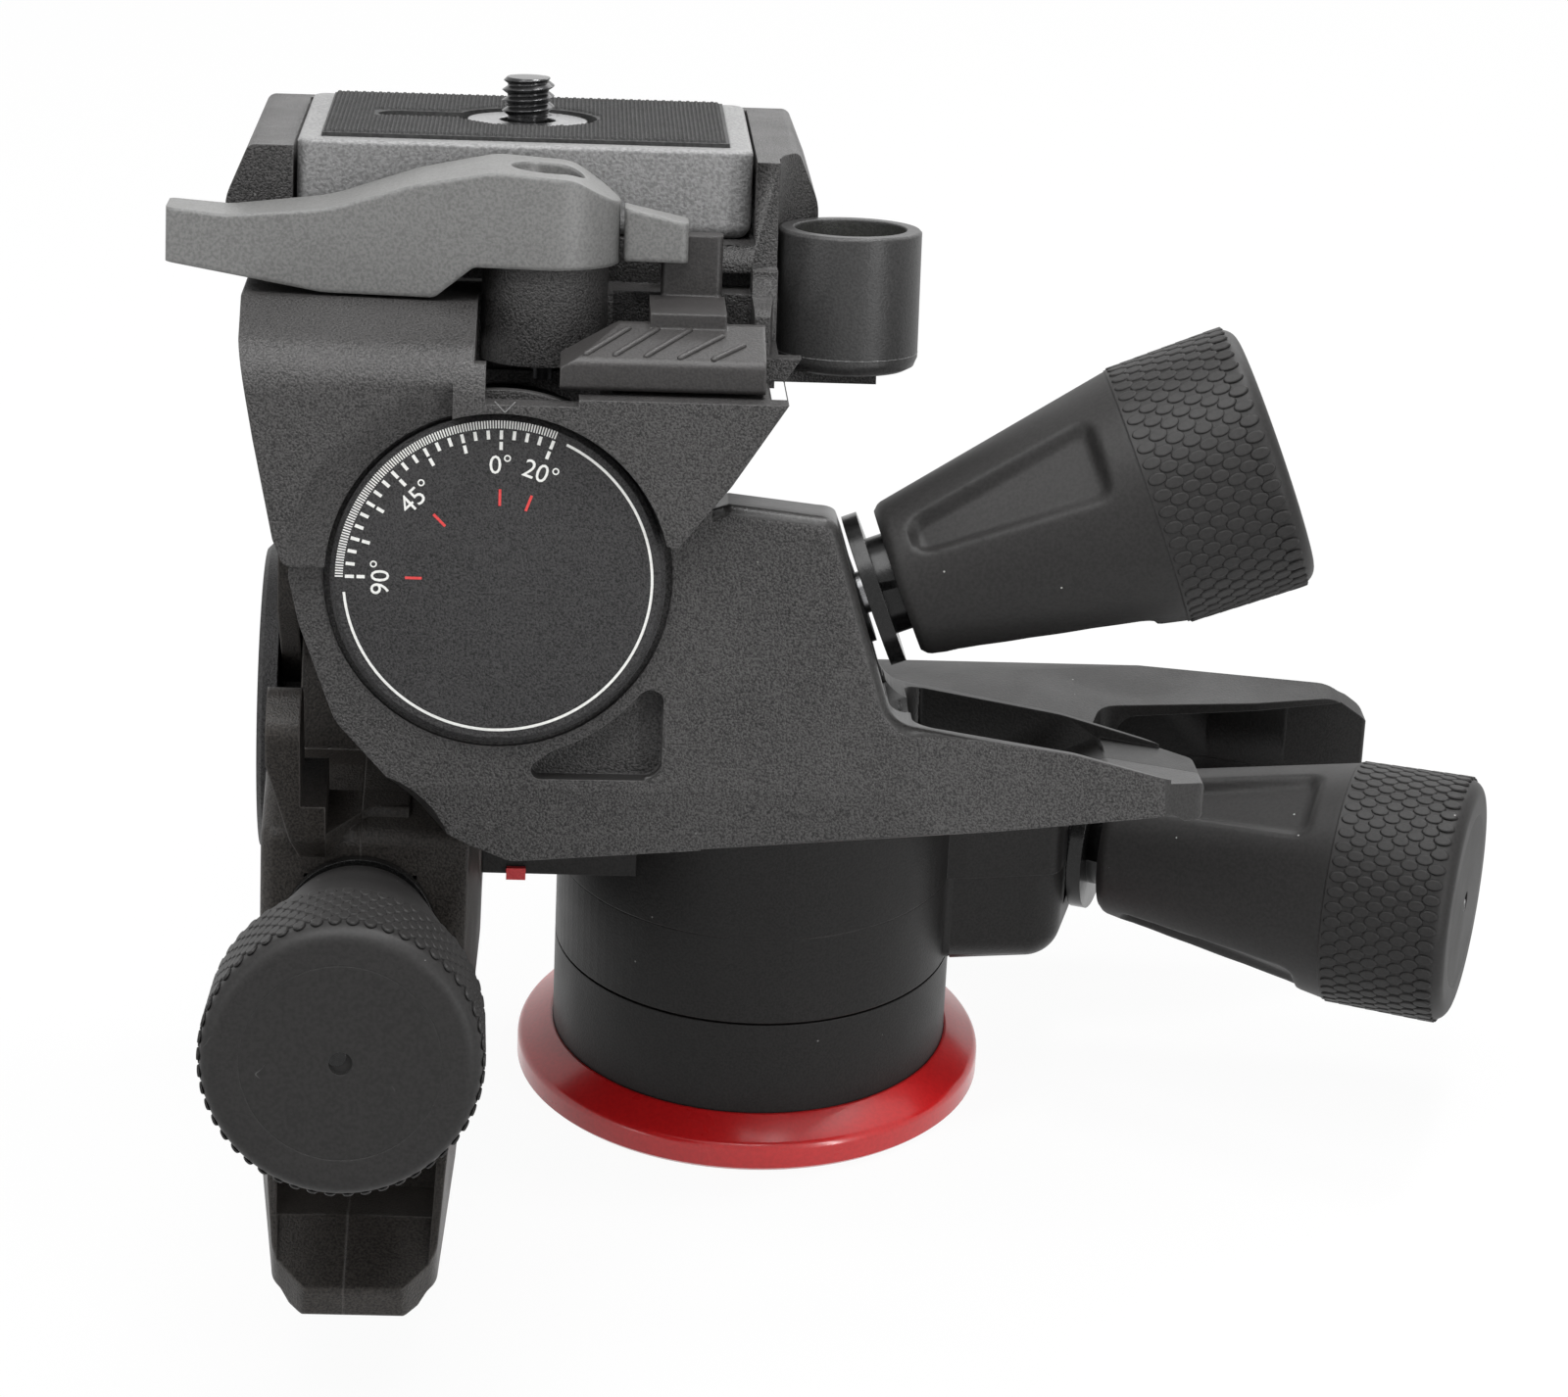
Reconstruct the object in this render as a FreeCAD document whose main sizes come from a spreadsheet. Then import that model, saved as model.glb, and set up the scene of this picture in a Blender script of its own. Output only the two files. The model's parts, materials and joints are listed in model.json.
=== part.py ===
"""Geared tripod head: three worm-gear units stacked on a round base.

Axes: X to the right of the head, Y towards its back, Z up; millimetres.
Origin: centre of the base's underside.  The pan unit turns on Z, the lateral
unit tilts the upper stage about X, and the front unit tilts the camera
bracket about Y.  The head is drawn with its upper stage leaning back a little.

All three units share one gear train.  It is drawn in a unit frame: u runs
along the arm, v from the lever side to the knob side, w out of the dial.
The worm and its knob are drawn in a worm frame: x towards the wheel, y along
w, z along the knob's shaft.
"""
import FreeCAD, Part
import math
import os
import re

import Sketcher

from FreeCAD import Placement, Rotation, Vector

doc = FreeCAD.newDocument("GearedHead")
sheet = doc.addObject("Spreadsheet::Sheet", "Sizes")

SIZES = {
    # base
    "ring_width": 4.45, "ring_land": 0.35, "base_wall": 3.8, "bevel_height": 2.1,
    "column_radius": 25.3, "column_top": 18.4, "insert_radius": 8.5, "insert_length": 12.0,
    "tripod_thread_radius": 4.7625, "post_radius": 6.0, "post_flange": 10.0,
    # where the units sit
    "pan_face": 17.0, "pan_turn": -2.6,
    "lateral_face": -62.0, "lateral_turn": -9.5, "tilt_y": -9.6, "tilt_z": 54.6,
    "front_x": -33.0, "front_y": -64.7, "front_z": 82.3, "lean": 12.2,
    # gear unit housing
    "skin": 1.7, "split": 13.5, "rear": 27.4, "wall": 2.2, "arm_top": 7.6, "arm_end": 38.2,
    "head_top": 8.9, "head_end": 26.0, "arm_foot": 45.6, "foot_drop": 16.2, "lever_mid": 66.8,
    "mid_drop": 19.7, "lever_end": 82.6, "end_drop": 24.0, "lip_drop": 28.1, "belly": 2.2,
    "belly_drop": 33.7, "lever_width": 18.8, "head_radius": 18.3, "side_drum": 23.4, "knob_angle": 20.8,
    "centre_distance": 18.0, "cavity_front": 7.6, "cavity_rear": 19.4, "cavity_radius": 15.6,
    "port_rise": 6.6, "port_drop": 13.2, "arm_round": 1.6, "drum_round": 4.5, "lobe_skin": 0.2,
    "ledge": 9.5, "ledge_fall": 0.36, "belly_bevel": 3.4, "screw_stem": 1.3, "screw_cap": 2.3,
    "screw_sink": 1.8, "screw_tip": 8.0,
    # dial
    "dial_radius": 19.0, "dial_thickness": 2.4, "dial_gap": 0.8, "dial_boss": 8.7, "boss_depth": 3.4,
    # worm gear
    "gear_module": 0.5, "tooth_reach": 0.7, "flank_slope": 0.42, "wheel_teeth": 56.0,
    "wheel_width": 4.0, "wheel_bore": 5.0,
    "worm_radius": 4.0, "worm_turns": 4.0, "shaft_radius": 2.5, "lip_gap": 0.5, "mesh_clearance": 0.08,
    # worm carrier
    "carrier_half": 5.75, "carrier_floor": 5.0, "carrier_top": 3.0, "window_half": 4.75,
    "window_end": 4.2, "block_end": 9.5, "tube_radius": 5.8, "tube_end": 38.0,
    "pivot_s": 8.0, "pivot_radius": 1.3, "ear_radius": 2.3, "fit": 0.05,
    "release_angle": 7.0, "spring_s": 13.0, "spring_radius": 2.4, "spring_wire": 0.7,
    # knob
    "flange_start": 38.7, "flange_width": 1.8, "flange_radius": 9.1, "neck_radius": 5.8,
    "knob_start": 42.5, "knob_small": 9.1, "band_start": 72.8, "band_small": 15.2,
    "band_end": 86.6, "band_large": 15.5, "face_end": 88.6, "face_round": 2.0,
    "core_radius": 6.0, "knob_shell": 2.4, "cap_depth": 3.0, "gate_radius": 1.3,
    "recess_depth": 1.5, "recess_width": 9.0,
    # axles and yoke
    "axle_radius": 4.0, "yoke_thickness": 3.2, "yoke_outer": 2.4, "yoke_hub": 9.4, "yoke_gap": 0.4,
    "yoke_recess": 5.5,
    "yoke_low": 50.0, "yoke_step": 72.0, "yoke_high": 82.6, "yoke_right": -6.0,
    # camera bracket
    "plate_width": 53.4, "plate_depth": 42.5, "plate_top": 127.5, "plate_thickness": 10.5,
    "plate_x": -31.3, "plate_y": -12.0, "pad_width": 48.0, "pad_depth": 36.4, "pad_height": 0.8,
    "jaw_gap": 0.4, "jaw_top": 126.8, "jaw_thick": 5.2, "jaw_flare": 2.6, "floor_thick": 3.2,
    "neck_low": 101.4, "floor_low": 113.7, "face_top": 108.0, "lever_deck": 111.7,
    "niche_left": -36.2, "niche_right": -20.6, "window_left": -34.9, "window_right": -24.4,
    "window_low": 102.9, "window_high": 107.2, "rib_front": -41.0, "rib_back": -24.0,
    "cheek_back": 1.3, "cheek_front": 2.3, "cheek_hole": 19.6, "mouth_radius": 24.2, "mouth_end": -5.5,
    "rim_radius": 21.6, "rim_gap": 0.4, "rim_seat": 0.6,
    "strap_radius": 13.0, "strap_thickness": 3.1, "strap_gap": 0.35,
    # clamp lever
    "hub_x": -28.6, "hub_y": -43.5, "hub_radius": 8.5, "hub_top": 125.3, "hub_low": 115.8,
    "post_hub": 7.3, "post_low": 104.3, "lever_tip_x": -72.2, "lever_screw": 4.3, "arm_low": 112.1,
    "tip_low": 115.0, "tip_top": 121.2, "bolt_radius": 1.6, "bolt_low": 101.9,
    # catch and safety lever
    "catch_x": -10.0, "catch_y": -43.6, "catch_post": 2.4, "post_left": 5.2, "catch_end": 2.2,
    "bar_left": -26.6, "bar_right": -3.4,
    "bar_low": 104.2, "bar_high": 110.6, "bar_front": -64.0, "bar_back": -53.5, "bar_step": 106.8,
    "bar_floor": 103.7, "catch_wall": -39.6, "neck_lift": 106.8, "shell_low": 109.4, "shell_front": -57.9,
    "shell_right": -12.6, "saddle_low": 109.0,
    # level
    "cup_x": 7.1, "cup_y": -33.0, "cup_top": 118.9, "cup_low": 102.4, "cup_radius": 8.45,
    "cup_bore": 6.55, "vial_radius": 6.2, "vial_height": 6.0, "tab_low": 100.9, "tab_end": 10.6,
    # camera screw
    "screw_radius": 3.175, "screw_rise": 4.6, "screw_shank": 2.4, "pad_slot": 2.8, "pad_reach": 15.2,
    "screw_head": 7.0, "washer_radius": 7.2,
}

for row, (alias, value) in enumerate(SIZES.items(), start=1):
    sheet.set("A%d" % row, alias)
    sheet.set("B%d" % row, str(value))
    sheet.setAlias("B%d" % row, alias)
doc.recompute()


def cell(alias):
    """The value of one named size, in mm or degrees."""
    return float(sheet.get(alias))


def bound(text):
    """An expression in which each bare name is a cell of the sheet."""
    return re.sub(r"[a-z][a-z_]+", lambda found: "Sizes." + found.group(0), text)


# ---------------------------------------------------------------- drawing aids

def block(name, low, high):
    """A box between two corners, each coordinate an expression."""
    box = doc.addObject("Part::Box", name)
    for prop, axis, a, b in zip(("Length", "Width", "Height"), "xyz", low, high):
        box.setExpression(prop, bound("(%s) - (%s)" % (b, a)))
        box.setExpression("Placement.Base." + axis, bound(a))
    return box


def rod(name, radius, low, high, at=("0", "0")):
    """A cylinder along Z between two heights, at a place in XY."""
    bar = doc.addObject("Part::Cylinder", name)
    bar.setExpression("Radius", bound(radius))
    bar.setExpression("Height", bound("(%s) - (%s)" % (high, low)))
    for axis, text in zip("xyz", (at[0], at[1], low)):
        bar.setExpression("Placement.Base." + axis, bound(text))
    return bar


def drawn(body, plane, points, offset="0"):
    """A closed sketch on an origin plane whose corners are held by expressions."""
    sketch = body.newObject("Sketcher::SketchObject", body.Name + "Sketch")
    support = [f for f in body.Origin.OriginFeatures if f.Role == plane][0]
    sketch.AttachmentSupport = [(support, "")]
    sketch.MapMode = "FlatFace"
    sketch.setExpression("AttachmentOffset.Base.z", bound(offset))
    count = len(points)
    spots = [Vector(number(x), number(y), 0) for x, y in points]
    for i in range(count):
        sketch.addGeometry(Part.LineSegment(spots[i], spots[(i + 1) % count]), False)
    for i in range(count):
        sketch.addConstraint(Sketcher.Constraint("Coincident", i, 2, (i + 1) % count, 1))
    for i, (x, y) in enumerate(points):
        for kind, text, value in (("DistanceX", x, spots[i].x), ("DistanceY", y, spots[i].y)):
            held = sketch.addConstraint(Sketcher.Constraint(kind, -1, 1, i, 1, value))
            sketch.setExpression("Constraints[%d]" % held, bound(text))
    return sketch


def number(text):
    """The present value of an expression of cells."""
    plain = re.sub(r"[a-z][a-z_]+", lambda found: repr(cell(found.group(0))), text)
    total = FreeCAD.Units.Quantity(plain) if plain.strip() else 0
    return float(total.Value)


def turned(name, profile):
    """A body of revolution about Z; the profile holds (radius, height) pairs."""
    body = doc.addObject("PartDesign::Body", name)
    sketch = drawn(body, "XZ_Plane", profile)
    turn = body.newObject("PartDesign::Revolution", name + "Turn")
    turn.Profile = sketch
    turn.ReferenceAxis = (sketch, ["V_Axis"])
    turn.Angle = 360
    return body


def fused(name, parts):
    joined = doc.addObject("Part::MultiFuse", name)
    joined.Shapes = parts
    return joined


def without(name, base, *tools):
    """The base less its tools."""
    result = doc.addObject("Part::Cut", name)
    result.Base = base
    result.Tool = tools[0] if len(tools) == 1 else fused(name + "Tools", list(tools))
    return result


def solid(name, shape):
    """A Part::Feature for a shape that sketches and primitives don't suit."""
    feature = doc.addObject("Part::Feature", name)
    feature.Shape = shape
    return feature


def rounded(points, radius, low, high):
    """A prism along Z of a polygon; each point may carry its own corner radius."""
    count = len(points)
    starts, ends, edges = [], [], []
    for i in range(count):
        here = Vector(points[i][0], points[i][1], 0)
        bend = points[i][2] if len(points[i]) > 2 else radius
        before = Vector(points[i - 1][0], points[i - 1][1], 0) - here
        after = Vector(points[(i + 1) % count][0], points[(i + 1) % count][1], 0) - here
        half = before.getAngle(after) / 2
        reach = min(bend / math.tan(half), before.Length * 0.45, after.Length * 0.45)
        first = here + before.normalize() * reach
        last = here + after.normalize() * reach
        if reach > 0.02 and half < math.radians(89):
            middle = (before + after).normalize()
            bow = reach * math.tan(half)
            centre_away = math.hypot(reach, bow)
            top = here + middle * (centre_away - bow)
            edges.append(("arc", first, top, last))
        else:
            first = last = here
        starts.append(first)
        ends.append(last)
    wire = []
    arcs = {id(e[1]): e for e in edges}
    for i in range(count):
        if id(starts[i]) in arcs:
            arc = arcs[id(starts[i])]
            wire.append(Part.Arc(arc[1], arc[2], arc[3]).toShape())
        follow = starts[(i + 1) % count]
        if (follow - ends[i]).Length > 1e-6:
            wire.append(Part.LineSegment(ends[i], follow).toShape())
    face = Part.Face(Part.Wire(wire))
    face.translate(Vector(0, 0, low))
    return face.extrude(Vector(0, 0, high - low))


def eased(shape, radius, where):
    """Round the edges whose middle point satisfies a test."""
    picked = []
    for edge in shape.Edges:
        middle = edge.valueAt((edge.FirstParameter + edge.LastParameter) / 2)
        if where(middle):
            picked.append(edge)
    return shape.makeFillet(radius, picked)


def disc(radius, low, high, x=0.0, y=0.0):
    return Part.makeCylinder(radius, high - low, Vector(x, y, low))


def cuboid(x0, x1, y0, y1, z0, z1):
    return Part.makeBox(x1 - x0, y1 - y0, z1 - z0, Vector(x0, y0, z0))


# ------------------------------------------------------------------ the frames

def axes(x_axis, y_axis, z_axis, origin):
    """A placement from three unit vectors and an origin."""
    matrix = FreeCAD.Matrix(x_axis.x, y_axis.x, z_axis.x, origin.x,
                            x_axis.y, y_axis.y, z_axis.y, origin.y,
                            x_axis.z, y_axis.z, z_axis.z, origin.z, 0, 0, 0, 1)
    return Placement(matrix)


def unit_frame(u, v, turn, origin):
    """A unit's frame from its u and v directions, turned in its own plane."""
    spin = math.radians(turn)
    along = u * math.cos(spin) + v * math.sin(spin)
    across = v * math.cos(spin) - u * math.sin(spin)
    return axes(along, across, along.cross(across), origin)


X, Y, Z = Vector(1, 0, 0), Vector(0, 1, 0), Vector(0, 0, 1)
tilt_point = Vector(0, cell("tilt_y"), cell("tilt_z"))
upper_frame = Placement(Vector(0, 0, 0), Rotation(X, -cell("lean")), tilt_point)
pan_unit = unit_frame(X, -Y, cell("pan_turn"), Vector(0, 0, cell("pan_face")))
lateral_unit = unit_frame(-Y, Z, cell("lateral_turn"),
                          Vector(cell("lateral_face"), cell("tilt_y"), cell("tilt_z")))
level_front = unit_frame(X, Z, 0, Vector(cell("front_x"), cell("front_y"), cell("front_z")))
front_unit = upper_frame.multiply(level_front)
upright = Placement()

slant = math.radians(cell("knob_angle"))
knob_way = Vector(math.cos(slant), math.sin(slant), 0)
wheel_way = Vector(-math.sin(slant), math.cos(slant), 0)
worm_foot = wheel_way * -cell("centre_distance") + Vector(0, 0, -cell("split"))
worm_frame = axes(wheel_way, Z, knob_way, worm_foot)


def spot(s, x):
    """The (u, v) of a point in the worm frame."""
    point = worm_foot + knob_way * s + wheel_way * x
    return point.x, point.y


finished = []


def node(label, thing, place=upright):
    """Name a finished sub-part and put it where it belongs."""
    thing.Label = label
    thing.Placement = place
    finished.append(thing)
    return thing


# ------------------------------------------------------------------- the base

node("base_ring", turned("BaseRing", [
    ("column_radius + fit", "0"), ("column_radius + fit + ring_width - 0.5", "0"),
    ("column_radius + fit + ring_width", "0.5"), ("column_radius + fit + ring_width", "base_wall"),
    ("column_radius + fit + ring_land", "base_wall + bevel_height"),
    ("column_radius + fit", "base_wall + bevel_height")]))

node("base_column", turned("BaseColumn", [
    ("insert_radius", "0"), ("column_radius", "0"), ("column_radius", "column_top"),
    ("column_radius - 4", "column_top"), ("column_radius - 4", "column_top - 1.2"),
    ("post_flange + 1", "column_top - 1.2"), ("post_flange + 1", "insert_length"),
    ("insert_radius", "insert_length")]))

node("thread_insert", turned("ThreadInsert", [
    ("tripod_thread_radius", "0"), ("insert_radius", "0"), ("insert_radius", "insert_length - 0.01"),
    ("tripod_thread_radius", "insert_length - 0.01")]))

node("pan_post", turned("PanPost", [
    ("0", "insert_length"), ("post_flange", "insert_length"),
    ("post_flange", "column_top"), ("post_radius", "column_top"),
    ("post_radius", "pan_face + split - wheel_width / 2"),
    ("wheel_bore", "pan_face + split - wheel_width / 2"),
    ("wheel_bore", "pan_face + split + wheel_width / 2 + 5"),
    ("0", "pan_face + split + wheel_width / 2 + 5")]))


# ------------------------------------------------------- gear train of a unit

def wheel_tip():
    return cell("gear_module") * (cell("wheel_teeth") / 2 + cell("tooth_reach"))


def tooth_half(above_pitch):
    """Half a tooth's width at a height above the pitch line."""
    return math.pi * cell("gear_module") / 4 - cell("mesh_clearance") - cell("flank_slope") * above_pitch


def wheel_shape():
    """The worm wheel: straight teeth about the unit's w axis, a gap at the worm."""
    teeth = int(cell("wheel_teeth"))
    pitch_radius = cell("gear_module") * teeth / 2
    root = pitch_radius - 1.2 * cell("gear_module")
    worm_at = math.atan2(worm_foot.y, worm_foot.x)
    corners = []
    for i in range(teeth):
        middle = worm_at + (i + 0.5) * 2 * math.pi / teeth
        for radius, side in ((root, 1), (wheel_tip(), 1), (wheel_tip(), -1), (root, -1)):
            angle = middle - side * tooth_half(radius - pitch_radius) / radius
            corners.append(Vector(radius * math.cos(angle), radius * math.sin(angle), 0))
    face = Part.Face(Part.makePolygon(corners + corners[:1]))
    half = cell("wheel_width") / 2
    face.translate(Vector(0, 0, -cell("split") - half))
    blank = face.extrude(Vector(0, 0, 2 * half))
    return blank.cut(disc(cell("wheel_bore"), -cell("rear"), 0))


def worm_shape():
    """The shaft with its worm thread, in the worm frame."""
    module = cell("gear_module")
    pitch = math.pi * module
    turns = int(cell("worm_turns"))
    tip = cell("worm_radius") + cell("tooth_reach") * module
    root = cell("worm_radius") - 1.2 * module
    inside = root - 0.1
    low, high = tooth_half(inside - cell("worm_radius")), tooth_half(tip - cell("worm_radius"))
    helix = Part.makeHelix(pitch, turns * pitch, cell("worm_radius"))
    profile = Part.makePolygon([Vector(inside, 0, -low), Vector(tip, 0, -high), Vector(tip, 0, high),
                                Vector(inside, 0, low), Vector(inside, 0, -low)])
    thread = Part.Wire(helix.Edges).makePipeShell([profile], True, True)
    thread.translate(Vector(0, 0, -turns * pitch / 2))
    thread.rotate(Vector(0, 0, 0), Z, 180.0 * turns)
    reach = turns * pitch / 2 + 0.2
    body = disc(root, -reach, reach).fuse(thread)
    start = cell("pivot_s") - cell("pivot_radius") - 0.4
    shaft = disc(cell("shaft_radius"), -start, cell("face_end") - cell("cap_depth"))
    return body.fuse(shaft).removeSplitter()


def coil_shape(length):
    """A compression spring along Z."""
    radius = cell("spring_radius") - cell("spring_wire") / 2
    turns = 5
    helix = Part.makeHelix((length - cell("spring_wire")) / turns, length - cell("spring_wire"), radius)
    start = Part.Wire(Part.makeCircle(cell("spring_wire") / 2, Vector(radius, 0, 0), Y))
    coil = Part.Wire(helix.Edges).makePipeShell([start], True, True)
    coil.translate(Vector(0, 0, cell("spring_wire") / 2))
    return coil


def carrier_shape():
    """The swinging carrier that holds the worm against its wheel."""
    half, floor, top = cell("carrier_half"), cell("carrier_floor"), cell("carrier_top")
    end, window, slot = cell("block_end"), cell("window_end"), cell("window_half")
    frame = cuboid(-floor, top, -half, half, -end + 0.5, end + 3)
    ear = Part.makeCylinder(cell("ear_radius"), 2 * half, Vector(0, -half, -cell("pivot_s")), Y)
    tube = disc(cell("tube_radius"), end, cell("tube_end"))
    whole = frame.fuse([ear, tube])
    whole = whole.cut(cuboid(-floor - 5, top + 5, -slot, slot, -window, window))
    whole = whole.cut(disc(cell("shaft_radius") + cell("fit"), -2 * end, cell("tube_end") + 1))
    pin = Part.makeCylinder(cell("pivot_radius") + cell("fit"), 4 * half,
                            Vector(0, -2 * half, -cell("pivot_s")), Y)
    clear_wheel = Part.makeCylinder(wheel_tip() + 0.5, 2 * half + 2,
                                    Vector(cell("centre_distance"), -half - 1, 0), Y)
    return whole.cut(pin).cut(clear_wheel)


def grip_shape():
    """The knob's soft outer cone, with three long recesses and a wide end band."""
    core, gap = cell("core_radius"), 0.02
    profile = [Vector(core + gap, 0, cell("knob_start")),
               Vector(cell("knob_small") - 0.6, 0, cell("knob_start")),
               Vector(cell("knob_small"), 0, cell("knob_start") + 0.6),
               Vector(cell("band_small"), 0, cell("band_start")),
               Vector(cell("band_small"), 0, cell("band_start")),
               Vector(cell("band_large"), 0, cell("band_end"))]
    edges = [Part.LineSegment(a, b).toShape() for a, b in zip(profile, profile[1:])
             if (b - a).Length > 1e-6]
    rim = Vector(cell("band_large") - cell("face_round"), 0, cell("face_end"))
    bend = cell("face_round")
    inward = bend * (1 - math.sqrt(0.5))
    knee = Vector(cell("band_large") - inward, 0, cell("face_end") - inward)
    edges.append(Part.Arc(profile[-1], knee, rim).toShape())
    inner = cell("band_large") - cell("face_round") - cell("knob_shell")
    floor = cell("face_end") - cell("cap_depth")
    tail = [rim, Vector(inner, 0, cell("face_end")), Vector(inner, 0, floor),
            Vector(core + gap, 0, floor), profile[0]]
    edges += [Part.LineSegment(a, b).toShape() for a, b in zip(tail, tail[1:])]
    cone = Part.Face(Part.Wire(edges)).revolve(Vector(0, 0, 0), Z, 360)
    depth, width = cell("recess_depth"), cell("recess_width")
    low, high = cell("knob_start") + 4.5, cell("band_start") - 5.0
    length = high - low
    rise = (cell("band_small") - cell("knob_small")) / (cell("band_start") - cell("knob_start"))
    for turn in (52, 172, 292):
        pocket = rounded([(-width * 0.28, 0), (width * 0.28, 0), (width * 0.5, length),
                          (-width * 0.5, length)], 1.6, 0, 8)
        seat = cell("knob_small") + rise * 4.5 - depth
        tip_over = math.degrees(math.atan(rise))
        pocket.rotate(Vector(0, 0, 0), X, 90)
        pocket.rotate(Vector(0, 0, 0), Z, 90)
        pocket.rotate(Vector(0, 0, 0), Y, tip_over)
        pocket.translate(Vector(seat, 0, low))
        pocket.rotate(Vector(0, 0, 0), Z, turn)
        cone = cone.cut(pocket)
    return cone


def gear_train(unit, name):
    """The wheel, worm, carrier, knob, pin and spring of one unit."""
    at_worm = unit.multiply(worm_frame)
    node(name + "_worm_wheel", solid(name + "Wheel", wheel_shape()), unit)
    node(name + "_worm_shaft", solid(name + "Worm", worm_shape()), at_worm)
    node(name + "_worm_carrier", solid(name + "Carrier", carrier_shape()), at_worm)
    flange = turned(name + "Flange", [
        ("shaft_radius", "flange_start"), ("flange_radius", "flange_start"),
        ("flange_radius", "flange_start + flange_width"), ("neck_radius", "flange_start + flange_width"),
        ("neck_radius", "knob_start"), ("shaft_radius", "knob_start")])
    node(name + "_knob_flange", flange, at_worm)
    core = turned(name + "Core", [
        ("shaft_radius", "knob_start"), ("core_radius", "knob_start"),
        ("core_radius", "face_end - cap_depth"), ("shaft_radius", "face_end - cap_depth")])
    node(name + "_knob_core", core, at_worm)
    node(name + "_knob_grip", solid(name + "Grip", grip_shape()), at_worm)
    cap = turned(name + "Cap", [
        ("0", "face_end - cap_depth"),
        ("band_large - face_round - knob_shell", "face_end - cap_depth"),
        ("band_large - face_round - knob_shell", "face_end"),
        ("gate_radius", "face_end"), ("gate_radius", "face_end - 0.5"), ("0", "face_end - 0.5")])
    node(name + "_knob_cap", cap, at_worm)
    pin = rod(name + "Pin", "pivot_radius", "-cavity_rear - wall * 0.6", "-cavity_front + wall * 0.6")
    pin.setExpression("Placement.Base.x", None)
    pin.setExpression("Placement.Base.y", None)
    pin.setExpression("Placement.Base.z", None)
    away = spot(-cell("pivot_s"), 0)
    start = Placement(Vector(away[0], away[1], -cell("cavity_rear") - cell("wall") * 0.6), Rotation())
    node(name + "_pivot_pin", pin, unit.multiply(start))
    length = cell("port_drop") - 0.6 - cell("tube_radius")
    seat = Vector(-cell("port_drop") + 0.4, 0, cell("spring_s"))
    spring_place = Placement(seat, Rotation(Y, 90))
    node(name + "_carrier_spring", solid(name + "Spring", coil_shape(length)),
         at_worm.multiply(spring_place))


gear_train(pan_unit, "pan")
gear_train(lateral_unit, "lateral")
gear_train(front_unit, "front")


# ------------------------------------------------------------------- housings

def lever_outline():
    """The arm's end and its long squeeze lever, clockwise from the arm's top."""
    return [(cell("head_end"), cell("head_top"), 0.8),
            (cell("arm_end"), cell("arm_top"), 2.4),
            (cell("arm_foot"), -cell("foot_drop"), 4.0),
            (cell("lever_mid"), -cell("mid_drop"), 12.0),
            (cell("lever_end"), -cell("end_drop"), 0.8),
            (cell("lever_end") - 0.2, -cell("lip_drop"), 0.5),
            (cell("lever_end") - 2.4, -cell("lip_drop"), 0.5),
            (cell("lever_end") - 3.8, -cell("lip_drop") + 1.1, 1.0),
            (cell("belly"), -cell("belly_drop"), 3.0)]


def taper():
    """A unit's plan and cross-section: thinner towards the lever's tip and its belly."""
    middle = -(cell("skin") + cell("rear")) / 2
    tip = cell("lever_width") / 2
    foot = cell("arm_foot") + 1
    end = cell("lever_end")
    plan = rounded([(-60, -cell("rear"), 0), (18, -cell("rear"), 30), (end - 5, middle - tip, 5),
                    (end + 0.8, middle - tip + 4.5, 5), (end + 0.8, middle + tip - 4.5, 5),
                    (end - 5, middle + tip, 5), (foot, -cell("skin"), 20), (-60, -cell("skin"), 0)],
                   0, -60, 60)
    plan.rotate(Vector(0, 0, 0), X, 90)
    front, rear, bevel = -cell("skin"), -cell("rear"), cell("belly_bevel")
    low = -cell("belly_drop") - 1
    section = Part.Face(Part.makePolygon([
        Vector(-60, 60, rear), Vector(-60, 60, 5), Vector(-60, low + 12, 5), Vector(-60, low + 10, front),
        Vector(-60, low, front - bevel * 0.35), Vector(-60, low, rear + bevel), Vector(-60, low + 13, rear),
        Vector(-60, 60, rear)]))
    return plan.common(section.extrude(Vector(150, 0, 0)))


def ledge_cut():
    """The wedge behind the arm's top ledge, where the arm falls away."""
    top = cell("arm_top")
    face = Part.Face(Part.makePolygon([
        Vector(-60, top + 0.2, -cell("ledge")), Vector(-60, 60, -cell("ledge")), Vector(-60, 60, -60),
        Vector(-60, top + 0.2 - (60 - cell("ledge")) * cell("ledge_fall"), -60),
        Vector(-60, top + 0.2, -cell("ledge"))]))
    return face.extrude(Vector(150, 0, 0))


def cavity():
    """The hollow for the wheel, the worm carrier, its swing and its tube."""
    front, back = -cell("cavity_front"), -cell("cavity_rear")
    hollow = disc(cell("cavity_radius"), back, front)
    end = cell("block_end")
    rise, drop = cell("port_rise"), cell("port_drop")

    def slab(s0, s1, x0, x1, back, front):
        corners = [spot(s0, x0), spot(s1, x0), spot(s1, x1), spot(s0, x1)]
        return rounded([(a, b) for a, b in corners], 0.6, back, front)

    near = slab(-end - 1.2, 4, -cell("carrier_floor") - 2, rise + 2, back, front)
    far = slab(3, 35, -drop, rise, back, front)
    mouth = slab(30, 60, -drop + 0.6, rise, -cell("split") - rise, -cell("split") + rise)
    swung = Part.makeCylinder(cell("flange_radius") + 0.35, 6.0, Vector(0, 0, cell("flange_start") - 0.5), Z)
    swung.rotate(Vector(0, 0, -cell("pivot_s")), Y, -cell("release_angle"))
    swung.Placement = worm_frame.multiply(swung.Placement)
    return hollow.fuse([near, far, mouth, swung])


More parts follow.
